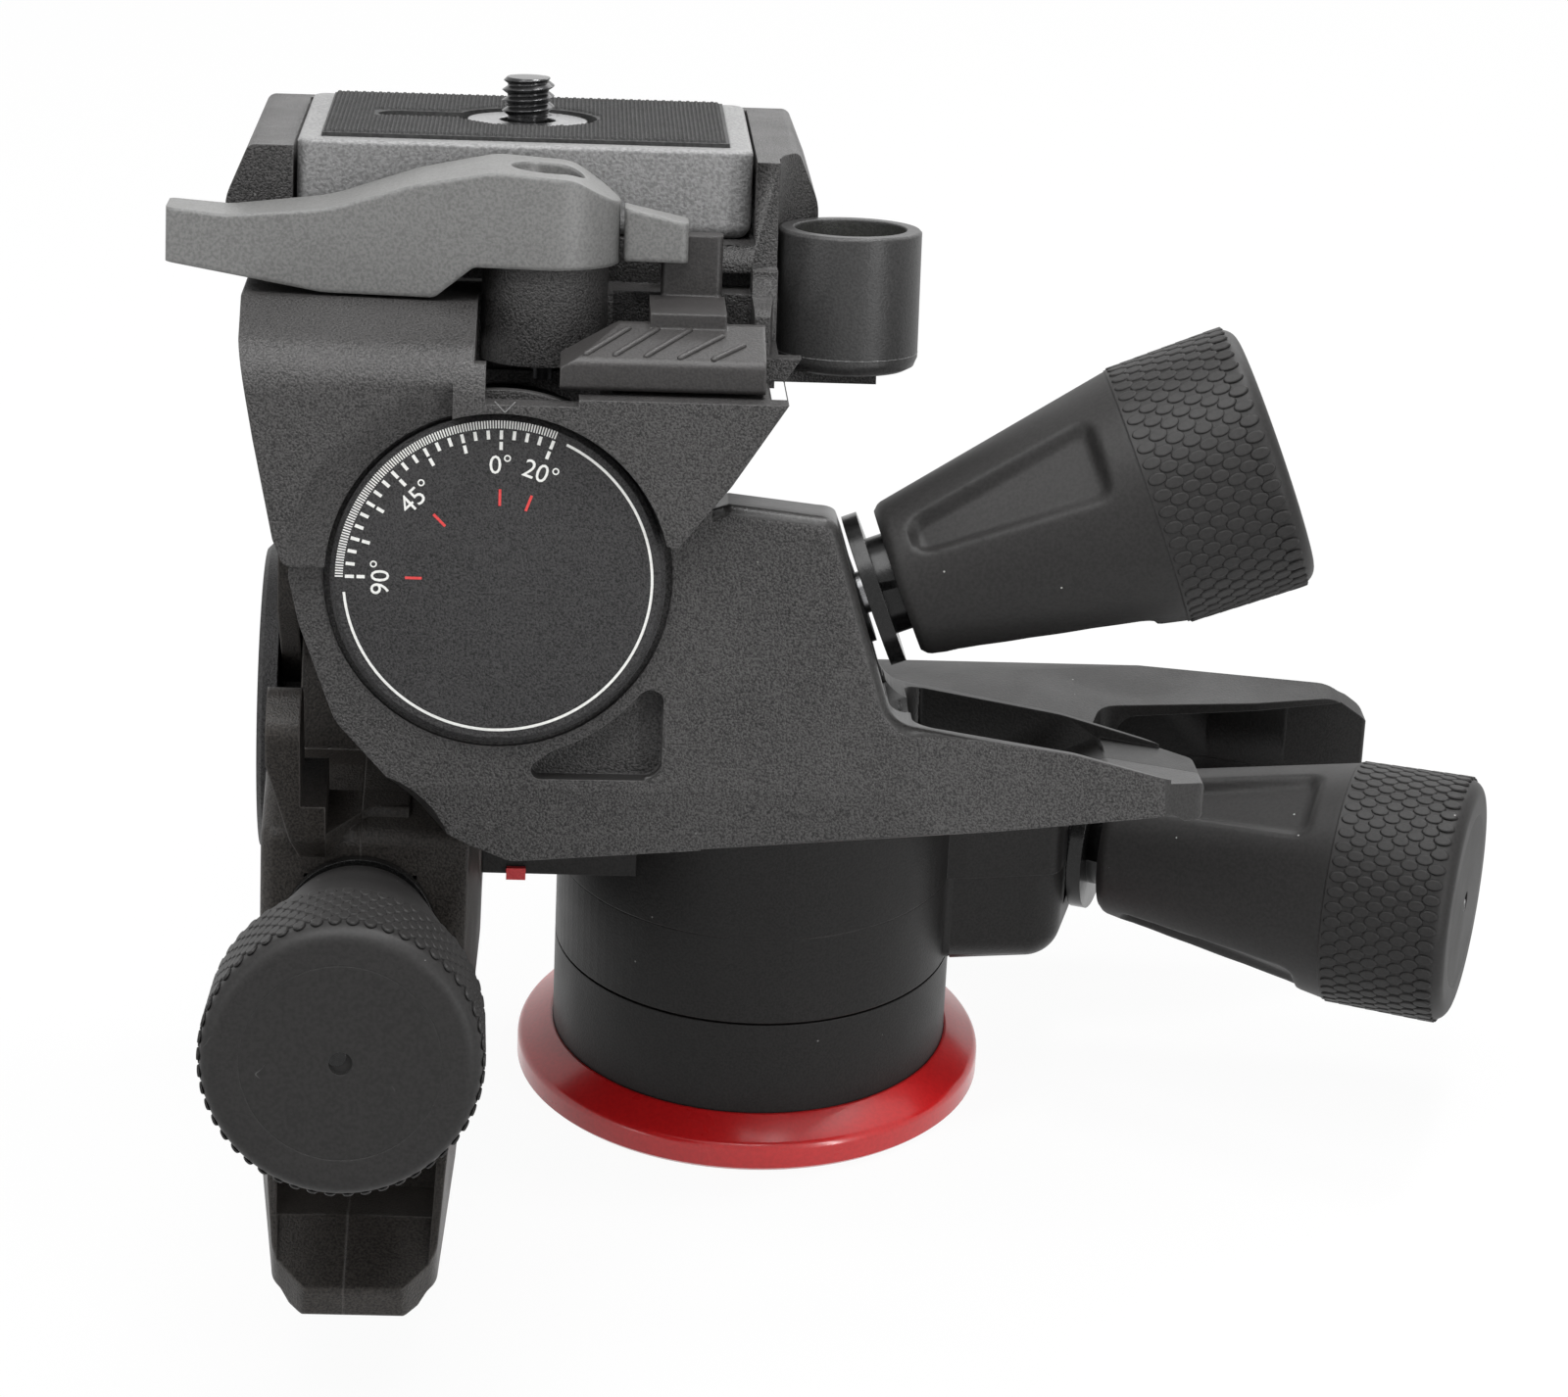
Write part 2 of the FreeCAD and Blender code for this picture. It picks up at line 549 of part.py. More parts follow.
def channel():
    """The open trough along the lever, closed at its tip by a slope."""
    wall = cell("wall")
    foot = cell("arm_foot") + 2.4
    slope = (cell("belly_drop") - cell("lip_drop") + 1.1) / (cell("lever_end") - 3.8 - cell("belly"))
    floor = -cell("belly_drop") + slope * (foot - cell("belly")) + wall
    far = cell("lever_mid") - 5
    trough = rounded([(foot, 0, 0), (foot, floor, 1.5), (far, floor + slope * (far - foot), 2.5),
                      (cell("lever_mid") + 4.5, -cell("mid_drop") - 2.6, 0.8),
                      (cell("lever_end") + 9, -cell("end_drop") - 1.2, 0),
                      (cell("lever_end") + 9, 0, 0)], 0, -60, 60)
    middle = -(cell("skin") + cell("rear")) / 2
    tip = cell("lever_width") / 2 - wall + 1.0
    end = cell("lever_end") + 8
    plan = rounded([(foot, -cell("rear") + wall + 1.2, 2.5), (end, middle - tip, 1),
                    (end, middle + tip, 1), (foot, -cell("skin") - wall - 0.2, 2.5)],
                   0, -60, 60)
    plan.rotate(Vector(0, 0, 0), X, 90)
    return trough.common(plan)


def pin_hole():
    u, v = spot(-cell("pivot_s"), 0)
    return disc(cell("pivot_radius"), -cell("cavity_rear") - cell("wall") * 0.6,
                -cell("cavity_front") + cell("wall") * 0.6, u, v)


def halves(name, whole, place, labels):
    """Split a housing at its mid-plane into two shells."""
    middle = -cell("split")
    outer = whole.common(cuboid(-120, 120, -120, 120, middle, 30))
    inner = whole.common(cuboid(-120, 120, -120, 120, -60, middle))
    node(labels[0], solid(name + "Outer", outer), place)
    node(labels[1], solid(name + "Inner", inner), place)


def screw_places(spots):
    """Cap screws let into the inner face, each a stem and a head."""
    rear, sink, stem = cell("rear"), cell("screw_sink"), cell("screw_stem")
    screws, pockets = [], []
    for u, v, lift in spots:
        face = -rear + lift
        head = disc(cell("screw_cap"), face + 0.2, face + sink, u, v)
        socket = disc(1.1, face + 0.2, face + 1.2, u, v)
        screws.append(head.cut(socket).fuse(disc(stem, face + sink, -cell("screw_tip"), u, v)))
        pockets.append(disc(cell("screw_cap"), face - 1, face + sink, u, v))
        pockets.append(disc(stem, face + sink, -cell("screw_tip"), u, v))
    return Part.makeCompound(screws), pockets


def dial_seat():
    return disc(cell("dial_radius") + cell("dial_gap"), -cell("dial_thickness"), 5)


def dial_socket():
    return disc(cell("dial_boss"), -cell("dial_thickness") - cell("boss_depth"), 5)


# pan unit: a round drum on the column with the arm and lever at its side
def arm_block(inner_points, low, high):
    """The arm and lever between two depths, its end and top edges rounded."""
    block_shape = rounded(lever_outline() + inner_points, 1.0, low, high)

    def on_end(p):
        at_face = abs(p.z - high) < 0.01 or abs(p.z - low) < 0.01
        past_head = p.x > cell("head_end") + 1.5 and p.x < cell("arm_foot") - 1.0
        return at_face and past_head and p.y > -cell("foot_drop") + 3.5

    return eased(block_shape, cell("arm_round"), on_end)


pan_arm = arm_block([(-2.3, -18.0), (-5.0, 10.0)], -cell("rear"), -cell("skin")).common(taper())
lobe_bend = cell("drum_round")
lobe = rounded([(12, cell("arm_top") + 2, 0), (cell("arm_end"), cell("arm_top"), lobe_bend + 0.5),
                (cell("arm_foot") - 0.3, 1 - cell("foot_drop"), 0), (12, 1 - cell("foot_drop"), 0)],
               0, -cell("split"), -cell("lobe_skin"))
lobe = eased(lobe, lobe_bend, lambda p: abs(p.z + cell("lobe_skin")) < 0.01 and p.x > 14
             and p.y > 1.5 - cell("foot_drop"))
lobe = lobe.cut(disc(cell("column_radius") + 0.5, -cell("skin"), 1))
drum = disc(cell("column_radius"), -cell("rear"), -cell("skin"))
beyond = pan_arm.cut(cuboid(24.5, cell("arm_foot") + 2, -cell("foot_drop") + 1, 60, -cell("split"), 5))
pan_whole = drum.fuse([beyond, lobe])
pan_whole = pan_whole.cut(cavity()).cut(channel()).cut(pin_hole())
post_hole = disc(cell("post_flange") + 0.4, -cell("cavity_front"), 5)
cap_hole = disc(cell("wheel_bore") + 0.15, -cell("cavity_rear") - 1.5, -cell("cavity_rear") + 1)
pan_whole = pan_whole.cut(post_hole).cut(cap_hole)
inset = (cell("column_radius") - 2.4 * cell("screw_cap")) * math.sqrt(0.5)
screws, pockets = screw_places([(cell("belly") + 5.8, -cell("belly_drop") + 5.3, 0.6),
                                (-inset, -inset, 0), (-inset, inset, 0)])
node("pan_housing_screws", solid("PanScrews", screws), pan_unit)
halves("PanHousing", pan_whole.cut(pockets), pan_unit, ("pan_housing_lower", "pan_housing_upper"))

# lateral unit: the same arm, a round head, and a wall that shields the dial's front
sector = disc(26.5, -cell("yoke_recess"), 5).common(cuboid(-40, 40, -9.9, 40, -10, 10))
side_arm = arm_block([(-6.0, -29.0), (-12.0, -22.0), (-19.0, -14.0), (-20.0, 0.0)],
                     -cell("rear"), -cell("skin")).common(taper())
drum = disc(cell("side_drum"), -cell("rear"), -cell("skin"))
lateral_whole = drum.fuse(side_arm)
shield = rounded([(30.5, 4.0, 1), (38.6, 4.0, 1), (41.5, 9.0, 2), (42.0, 25.0, 3), (36.0, 27.5, 3),
                  (33.0, 24.0, 2)], 1.0, -9.5, -2.6).cut(cuboid(30, 60, 14, 40, -10, -6.6))
slanted = Part.Face(Part.makePolygon([Vector(25, 2, -7.0), Vector(25, 20, -2.6), Vector(25, 20, 5),
                                      Vector(25, 2, 5), Vector(25, 2, -7.0)])).extrude(Vector(30, 0, 0))
ear = rounded([(30.5, 4.5, 1), (34.8, 4.5, 1), (35.4, 7.0, 1), (34.4, 9.0, 1), (30.5, 9.0, 1)],
              1.0, -19.0, -9.4)
ramp = Part.Face(Part.makePolygon([Vector(34, 5.5, -15), Vector(40.2, 5.5, -9.4), Vector(34, 5.5, -9.4),
                                   Vector(34, 5.5, -15)])).extrude(Vector(0, 3.5, 0))
shield = shield.fuse([ear, ramp]).cut(slanted)
lateral_whole = lateral_whole.fuse(shield)
lateral_whole = lateral_whole.cut(sector).cut(dial_seat()).cut(cavity()).cut(channel()).cut(pin_hole())
lateral_whole = lateral_whole.cut(dial_socket())
lateral_whole = lateral_whole.cut(disc(cell("axle_radius") + 0.3, -cell("rear") - 1,
                                       -cell("cavity_rear") + 1))
inset = (cell("side_drum") - 1.8 * cell("screw_cap")) * math.sqrt(0.5)
arm_screws = [(cell("arm_foot") - 4.6, -cell("foot_drop") - 7.8, 1.6),
              (cell("head_end") - 4.0, -cell("belly_drop") + 5.7, 0.6)]
screws, pockets = screw_places(arm_screws + [(-inset, inset, 0)])
node("lateral_housing_screws", solid("LateralScrews", screws), lateral_unit)
halves("LateralHousing", lateral_whole.cut(pockets), lateral_unit,
       ("lateral_housing_outer", "lateral_housing_inner"))

# front unit: front shell with the long lever side, rear shell cut back at the left
front_edge = [(-2.3, -31.9, 3.0), (-6.9, -29.7, 4.0), (-11.4, -24.6, 3.0), (-18.2, -17.3, 6.0),
              (-22.5, -6.0, 8.0), (-24.0, 0.5, 3.0), (-18.0, 8.0, 6.0), (10.0, 12.0, 2.0)]
rear_edge = [(2.4, -32.0, 2.0), (-1.4, -27.0, 2.0), (-3.4, -19.0, 2.0), (-2.8, 0.0, 1.0)]
whole_arm = arm_block([(-2.3, -31.9, 3.0), (0.0, 0.0, 0.0)], -cell("rear"), -cell("skin"))
face_side = rounded(lever_outline() + front_edge, 1.0, -cell("split"), -cell("skin"))
rear_side = rounded(lever_outline() + rear_edge, 1.0, -cell("rear"), -cell("split"))
left_part = cuboid(-60, 24, -60, 60, -40, 0)
face_side = face_side.common(left_part).fuse(disc(cell("head_radius"), -cell("split"), -cell("skin")))
rear_side = rear_side.common(left_part).fuse(disc(cell("head_radius"), -cell("rear"), -cell("split")))
front_whole = whole_arm.common(cuboid(2.5, 120, -60, 60, -40, 0)).fuse([face_side, rear_side])
front_whole = front_whole.common(taper()).cut(ledge_cut().common(cuboid(21, 80, -60, 60, -60, 0)))
window = rounded([(2.0, -23.6, 2.5), (19.2, -23.4, 2.0), (19.2, -13.2, 1.2), (17.5, -12.6, 1.0),
                  (8.0, -19.2, 6.0)],
                 1.0, -4.6, 5).cut(disc(cell("dial_radius") + 2.2, -6, 6))
strap_room = disc(26.5, -cell("rear") - 5, -cell("rear") + cell("strap_thickness") + 2 * cell("strap_gap"))
strap_room = strap_room.common(cuboid(-40, 40, -13.6, 40, -60, 0))
# a thin rim behind the cheek closes the gap around the dial
rim = disc(cell("rim_radius"), -cell("dial_thickness") - cell("rim_seat"),
           -cell("cheek_back") - cell("rim_gap"))
front_whole = front_whole.fuse(rim)
front_whole = front_whole.cut(dial_seat()).cut(cavity()).cut(channel()).cut(pin_hole())
flank = cuboid(-60, -12.5, -60, -8.5, -cell("split") - 0.1, -6.2).cut(disc(17.6, -30, 0))
# with the head level, the lip passes close over the side unit's knob
swept_room = Part.makeCone(cell("knob_small") + cell("lip_gap"), cell("band_small") + cell("lip_gap"),
                           cell("band_start") - cell("knob_start") + 1,
                           Vector(0, 0, cell("knob_start") - 1), Z)
swept_room.Placement = level_front.inverse().multiply(lateral_unit).multiply(worm_frame)
front_whole = front_whole.cut(window).cut(strap_room).cut(flank).cut(swept_room)
front_whole = front_whole.cut(dial_socket())
front_whole = front_whole.cut(disc(cell("axle_radius") + 0.3, -cell("rear") - 1, -cell("cavity_rear") + 1))
screws, pockets = screw_places(arm_screws)
node("front_housing_screws", solid("FrontScrews", screws), front_unit)
halves("FrontHousing", front_whole.cut(pockets), front_unit, ("front_housing_front", "front_housing_rear"))

for name, unit in (("lateral", lateral_unit), ("front", front_unit)):
    dial = turned(name + "Dial", [
        ("0", "-dial_thickness - boss_depth"), ("dial_boss", "-dial_thickness - boss_depth"),
        ("dial_boss", "-dial_thickness"), ("dial_radius", "-dial_thickness"),
        ("dial_radius", "-0.6"), ("dial_radius - 0.6", "0"), ("0", "0")])
    node(name + "_dial", dial, unit)


# ------------------------------------------------------------- axles and yoke

axle_end = {"front": cell("rear") - cell("strap_gap"),
            "lateral": cell("rear") + cell("yoke_gap") + cell("yoke_thickness")}
for name, unit in (("lateral", lateral_unit), ("front", front_unit)):
    wheel_face = cell("split") + cell("wheel_width") / 2
    inner = disc(cell("wheel_bore"), -wheel_face, -wheel_face + cell("wheel_width") + 2)
    outer = disc(cell("axle_radius"), -axle_end[name], -wheel_face)
    node(name + "_axle", solid(name + "Axle", inner.fuse(outer).removeSplitter()), unit)


def yoke_shape():
    """The saddle that joins the lateral axle to the back of the front housing."""
    thick, gap = cell("yoke_thickness"), cell("yoke_gap")
    face = cell("front_y") + cell("rear")
    right_wall = cell("lateral_face") + cell("rear") + gap
    left_wall = cell("lateral_face") + cell("dial_thickness") + 0.35
    slim = cell("yoke_outer")
    tilt_y, tilt_z = cell("tilt_y"), cell("tilt_z")
    low, step, high = cell("yoke_low"), cell("yoke_step"), cell("yoke_high")

    def side(x, foot, thick):
        hub = Part.makeCylinder(cell("yoke_hub"), thick, Vector(x, tilt_y, tilt_z), X)
        cheek = Part.Face(Part.makePolygon([
            Vector(x, face, foot), Vector(x, face, high), Vector(x, face + 3.2, high),
            Vector(x, tilt_y + 6, tilt_z + cell("yoke_hub") * 0.75), Vector(x, tilt_y, tilt_z),
            Vector(x, tilt_y - cell("yoke_hub") * 0.45, tilt_z + 1.0), Vector(x, face, foot)]))
        return hub.fuse(cheek.extrude(Vector(thick, 0, 0)))

    inner = side(right_wall, low + 8, thick)
    outer = side(left_wall, step, slim)
    saddle = cuboid(left_wall, cell("yoke_right"), face, face + thick, step, high)
    foot = cuboid(right_wall, cell("yoke_right"), face, face + thick, low, step + 1)
    whole = inner.fuse([outer, saddle, foot])
    bore = Part.makeCylinder(cell("axle_radius"), thick + 2, Vector(right_wall - 1, tilt_y, tilt_z), X)
    window = Part.makeCylinder(cell("dial_boss") + 0.25, thick + 2, Vector(left_wall - 1, tilt_y, tilt_z), X)
    return whole.cut(bore).cut(window)


node("tilt_yoke", solid("TiltYoke", yoke_shape()), upper_frame)


# --------------------------------------------------------------- camera bracket

def seen_from_front(points, y0, y1):
    """A prism along Y of an (x, z) outline."""
    prism = rounded(points, 0.8, -y1, -y0)
    prism.rotate(Vector(0, 0, 0), X, 90)
    return prism


def seen_from_side(points, x0, x1):
    """A prism along X of a (y, z) outline."""
    prism = rounded(points, 0.0, x0, x1)
    prism.Placement = axes(Y, Z, X, Vector(0, 0, 0)).multiply(prism.Placement)
    return prism


def bracket_shape():
    """The camera bracket: front cheek, neck, platform, jaws, rear strap and cup tab."""
    cx, cy, cz = cell("front_x"), cell("front_y"), cell("front_z")
    front = cy - cell("cheek_front")
    back = cy + cell("cheek_back")
    plate_left = cell("plate_x") - cell("plate_width") / 2 - cell("jaw_gap")
    plate_right = cell("plate_x") + cell("plate_width") / 2 + cell("jaw_gap")
    plate_front = cell("plate_y") - cell("plate_depth") / 2
    plate_back = cell("plate_y") + cell("plate_depth") / 2
    deck = cell("plate_top") - cell("plate_thickness")
    left = plate_left - cell("jaw_thick") - cell("jaw_flare")
    right = plate_right + cell("jaw_thick") + cell("jaw_flare")
    neck, floor_low, lever_deck = cell("neck_low"), cell("floor_low"), cell("lever_deck")
    strap_back = cy + cell("rear") - cell("strap_gap")
    strap_front = strap_back - cell("strap_thickness")

    # the cheek and the neck behind it share one front outline
    outline = seen_from_front([
        (cx - 19.6, cz + 0.9, 0.4), (cx - 24.1, cz + 1.4, 1.5), (cx - 25.4, cz + 4.5, 2.0),
        (cx - 27.8, cz + 16.0, 20), (left + 2.6, lever_deck + 1.9, 1.0), (left + 1.0, deck + 1, 1.0),
        (right - 1.0, deck + 1, 1.0), (right - 1.6, lever_deck - 2.0, 2.0), (cx + 34.4, cz + 24.8, 2.0),
        (cx + 26.0, cz + 11.9, 8.0), (cx + 20.1, cz + 4.6, 0.6), (cx, cz + 10, 0)], front, 30)
    profile = seen_from_side([
        (front, cz - 10, 0), (front, cell("face_top"), 6.0), (plate_front - 17, lever_deck, 4.0),
        (plate_front - 0.6, lever_deck, 0), (plate_front - 0.6, deck + 1, 0), (-20, deck + 1, 0),
        (-22, floor_low, 0), (strap_back, cell("saddle_low"), 0), (strap_back, neck, 0), (back, neck, 0),
        (back, cz - 10, 0)],
        left - 5, right + 5)
    body = outline.common(profile)
    corner = Part.Face(Part.makePolygon([
        Vector(-3.6, front - 5, 0), Vector(-3.6, front, 0), Vector(-1.9, cell("rib_front") + 2, 0),
        Vector(right + 10, cell("rib_front") + 2, 0), Vector(right + 10, front - 5, 0),
        Vector(-3.6, front - 5, 0)])).extrude(Vector(0, 0, 300))
    body = body.cut(corner.common(cuboid(-10, right + 9, front - 4, 0, cell("face_top") - 1.5, 140)))
    # the arm below swings up to the right; keep the neck clear of its corner
    swing = seen_from_front([
        (cx - 60, cz - 30, 0), (cx - 60, cell("neck_lift"), 0), (cx + 8.5, cell("neck_lift"), 0),
        (cx + 12.0, neck, 0), (cx + 18.0, neck, 0), (cx + 22.5, neck + 1.3, 0),
        (cx + 31.9, cz + 21.6, 0), (cx + 36.0, cz + 16.2, 0), (cx + 38.9, cz + 8.5, 0),
        (cx + 60, cz - 30, 0)], back, cy + 20)
    # the side unit's ear passes under the left of the neck when the bracket stands on its side
    ear_room = cuboid(left - 5, cx + cell("shell_right"), cell("shell_front"), 30, cz, cell("shell_low"))
    body = body.cut([swing, ear_room])
    platform = seen_from_front([
        (left + 1.2, floor_low, 1.5), (left, floor_low + 4, 2.0), (left, deck + 3.5, 6.0),
        (left + cell("jaw_flare"), cell("jaw_top"), 1.2), (right - cell("jaw_flare"), cell("jaw_top"), 1.2),
        (right, deck + 3.5, 6.0), (right, floor_low + 4, 2.0), (right - 1.2, floor_low, 1.5)],
        plate_front - 3.5, plate_back + 3.0)
    rib = cuboid(-4.6, cell("cup_x") - cell("cup_radius") - 0.2, cell("rib_front"), cell("rib_back"),
                 cell("tab_low"), floor_low + 1)
    tab = cuboid(-4.0, cell("tab_end"), cell("cup_y") - 3.5, cell("cup_y") + 3.5,
                 cell("tab_low"), cell("cup_low"))
    strap = seen_from_front([
        (cx - cell("strap_radius"), cz, 0), (cx - cell("strap_radius"), cell("shell_low") + 0.5, 0),
        (cx + cell("strap_radius") + 5, cell("shell_low") + 0.5, 0), (cx + cell("strap_radius"), cz, 0)],
        strap_front, strap_back)
    eye = Part.makeCylinder(cell("strap_radius"), cell("strap_thickness"), Vector(cx, strap_front, cz), Y)
    whole = body.fuse([platform, rib, tab, strap, eye])

    # room for the clamp lever's boss, the safety lever and the catch
    hub_x, hub_y = cell("hub_x"), cell("hub_y")
    top = deck + 20
    lever_room = cuboid(left - 5, cell("catch_x") - 5, front - 5, plate_front - 0.6, lever_deck, top)
    niche = cuboid(cell("niche_left"), cell("niche_right"), front - 5, hub_y, cell("window_high"), top)
    low_niche = cuboid(cell("niche_left"), cell("niche_right"), back + 0.01, hub_y, cell("window_low"), top)
    window = cuboid(cell("window_left"), cell("window_right"), front - 5, back + 0.02,
                    cell("window_low"), cell("window_high") + 0.1)
    bar_room = cuboid(cell("niche_right") - 0.1, right + 5, front - 5, cell("bar_back") + 1.2,
                      cell("bar_floor"), top)
    bar_side = cuboid(cell("bar_left") - 1.2, cell("niche_right"), front - 5, cell("bar_back") + 1.2,
                      cell("bar_floor"), top)
    catch_room = cuboid(cell("niche_right") - 0.1, cell("catch_x") + 5.5, cell("bar_back") + 1.0,
                        cell("catch_wall"), cell("bar_step") - 0.4, top)
    before_cup = cuboid(cell("cup_x") - cell("cup_radius") - 0.2, right + 5, -50, cell("cup_y"),
                        cell("cup_low"), top)
    whole = whole.cut([before_cup, lever_room, niche, low_niche, window, bar_room, bar_side, catch_room])
    post = disc(cell("post_hub"), cell("post_low"), cell("hub_low") - 0.1, hub_x, hub_y)
    web = cuboid(hub_x - 5, hub_x + 5, hub_y, hub_y + 5, cell("neck_lift"), lever_deck)
    whole = whole.fuse([post, web])
    bed = cuboid(plate_left, plate_right, plate_front - 20, plate_back + cell("jaw_gap"), deck, deck + 30)
    whole = whole.cut(bed)
    dial_window = Part.makeCylinder(cell("cheek_hole"), 60, Vector(cx, cy - 10, cz), Y)
    whole = whole.cut(dial_window.common(cuboid(left, right, front - 5, back + 0.01, 0, 200)))
    groove = Part.makeCylinder(cell("rim_radius") + cell("rim_gap"),
                               cell("dial_thickness") + cell("rim_seat") + cell("rim_gap")
                               - cell("cheek_back"),
                               Vector(cx, back, cz), Y)
    # the cheek falls away towards the dial at its upper left
    depth = cell("cheek_front") + 0.3
    mouth = Part.makeCone(cell("cheek_hole"), cell("mouth_radius"), depth, Vector(cx, cy + 0.3, cz), Y * -1)
    mouth = mouth.common(cuboid(left - 5, cx + cell("mouth_end"), front - 5, back, cz - 3, cz + 40))
    whole = whole.cut(groove).cut(mouth)
    cup_seat = disc(cell("cup_radius") + 0.02, cell("cup_low"), deck + 30, cell("cup_x"), cell("cup_y"))
    axle_hole = Part.makeCylinder(cell("axle_radius"), 20, Vector(cx, strap_back - 10, cz), Y)
    bolt_hole = disc(cell("bolt_radius"), cell("post_low") - 5, cell("hub_low") + 5, hub_x, hub_y)
    catch_hole = disc(cell("catch_post") + cell("fit"), neck + 1.5, top, cell("catch_x"), cell("catch_y"))
    return whole.cut([cup_seat, axle_hole, bolt_hole, catch_hole])


node("camera_bracket", solid("CameraBracket", bracket_shape()), upper_frame)


def plate_shape():
    """The sliding camera plate, with a rim around its pad."""
    w, d = cell("plate_width") / 2, cell("plate_depth") / 2
    x, y, top = cell("plate_x"), cell("plate_y"), cell("plate_top")
    low = top - cell("plate_thickness")
    body = rounded([(x - w, y - d, 2.0), (x + w, y - d, 2.0), (x + w, y + d, 2.0), (x - w, y + d, 2.0)],
                   2.0, low, top)
    body = eased(body, 1.8, lambda p: abs(p.z - low) < 0.01)
    body = eased(body, 0.5, lambda p: abs(p.z - top) < 0.01)
    pw, pd = cell("pad_width") / 2, cell("pad_depth") / 2
    seat = cuboid(x - pw, x + pw, y - pd, y + pd, top - 1.0, top + 1)
    well = disc(cell("washer_radius") + 0.1, top - 2.2, top + 1, x, y)
    hole = disc(cell("screw_radius") + 0.25, low - 1, top + 1, x, y)
    head = disc(cell("screw_head") + 0.4, low - 1, low + 4.4, x, y)
    return body.cut(seat).cut(well).cut(hole).cut(head)


node("camera_plate", solid("CameraPlate", plate_shape()), upper_frame)

pad = without("Pad", block(
    "PadBlock",
    ("plate_x - pad_width / 2 + fit", "plate_y - pad_depth / 2 + fit", "plate_top - 1"),
    ("plate_x + pad_width / 2 - fit", "plate_y + pad_depth / 2 - fit", "plate_top + pad_height")),
    rod("PadHole", "washer_radius + 1.2", "plate_top - 2", "plate_top + 3", ("plate_x", "plate_y")),
    rod("PadSlotEnd", "pad_slot", "plate_top - 2", "plate_top + 3", ("plate_x - pad_reach", "plate_y")),
    block("PadSlot", ("plate_x - pad_reach", "plate_y - pad_slot", "plate_top - 2"),
          ("plate_x", "plate_y + pad_slot", "plate_top + 3")))
node("plate_pad", pad, upper_frame)

washer = without("Washer", rod("WasherBlank", "washer_radius", "plate_top - 2.2", "plate_top + 0.2",
                               ("plate_x", "plate_y")),
                 rod("WasherBore", "screw_radius + 0.25", "plate_top - 4", "plate_top + 2",
                     ("plate_x", "plate_y")))
node("screw_washer", washer, upper_frame)

camera_screw = fused("CameraScrew", [
    rod("ScrewShank", "screw_shank", "plate_top - plate_thickness + 4",
        "plate_top + pad_height + 0.1", ("plate_x", "plate_y")),
    rod("ScrewThread", "screw_radius", "plate_top + pad_height",
        "plate_top + pad_height + screw_rise", ("plate_x", "plate_y")),
    rod("ScrewHead", "screw_head", "plate_top - plate_thickness + 0.6",
        "plate_top - plate_thickness + 4.2", ("plate_x", "plate_y"))])
node("camera_screw", camera_screw, upper_frame)

cup_place = upper_frame.multiply(Placement(Vector(cell("cup_x"), cell("cup_y"), 0), Rotation()))
node("level_cup", turned("Cup", [
    ("0", "cup_low"), ("cup_radius - 1.3", "cup_low"), ("cup_radius - 0.4", "cup_low + 0.5"),
    ("cup_radius", "cup_low + 1.5"), ("cup_radius", "cup_top - 0.3"), ("cup_radius - 0.3", "cup_top"),
    ("cup_bore + 0.2", "cup_top"), ("cup_bore", "cup_top - 0.2"), ("cup_bore", "cup_low + 2.5"),
    ("0", "cup_low + 2.5")]), cup_place)
node("level_vial", turned("Vial", [
    ("0", "cup_low + 2.5"), ("vial_radius", "cup_low + 2.5"),
    ("vial_radius", "cup_low + 2.5 + vial_height - 0.6"),
    ("vial_radius - 0.6", "cup_low + 2.5 + vial_height"), ("0", "cup_low + 2.5 + vial_height")]), cup_place)


def clamp_lever_shape():
    """The clamp lever: a round hub and a deep arm with a squared tip."""
    hub_x, hub_y, radius = cell("hub_x"), cell("hub_y"), cell("hub_radius")
    tip, top, low = cell("lever_tip_x"), cell("hub_top"), cell("hub_low")
    plan = rounded([(hub_x, hub_y + radius, 0), (hub_x - 10, hub_y + 8.0, 8), (tip, hub_y + 4.0, 1.0),
                    (tip, hub_y - 3.6, 1.0), (hub_x - 18, hub_y - 6.4, 20), (hub_x, hub_y - radius, 0)],
                   1.0, low - 12, top + 8)
    plan = plan.fuse(disc(radius, low - 12, top + 8, hub_x, hub_y)).removeSplitter()
    side = seen_from_front([
        (tip - 1, cell("tip_top"), 0), (tip + 7, cell("tip_top") - 0.7, 8), (hub_x - 25, top - 3.6, 20),
        (hub_x - 15, top - 0.3, 12), (hub_x - 6, top + 1.5, 10), (hub_x + 3, top + 0.9, 6),
        (hub_x + 12, top - 4.5, 0), (hub_x + 12, low, 0), (hub_x - 8.2, low, 1.5),
        (hub_x - 12.6, cell("arm_low"), 1.5), (hub_x - 25.5, cell("arm_low"), 10),
        (tip - 1, cell("tip_low"), 0)],
        hub_y - 30, hub_y + 30)
    shape = plan.common(side)
    bolt = disc(cell("lever_screw"), top - 3, top + 8, hub_x, hub_y)
    hole = disc(cell("bolt_radius") + cell("fit"), low - 5, top, hub_x, hub_y)
    return shape.cut(bolt).cut(hole)


node("clamp_lever", solid("ClampLever", clamp_lever_shape()), upper_frame)

bolt = fused("LeverBolt", [
    rod("LeverBoltStem", "bolt_radius", "bolt_low", "hub_top - 2.9", ("hub_x", "hub_y")),
    rod("LeverBoltHead", "lever_screw - 0.1", "hub_top - 2.95", "hub_top - 1.6", ("hub_x", "hub_y"))])
node("lever_bolt", bolt, upper_frame)


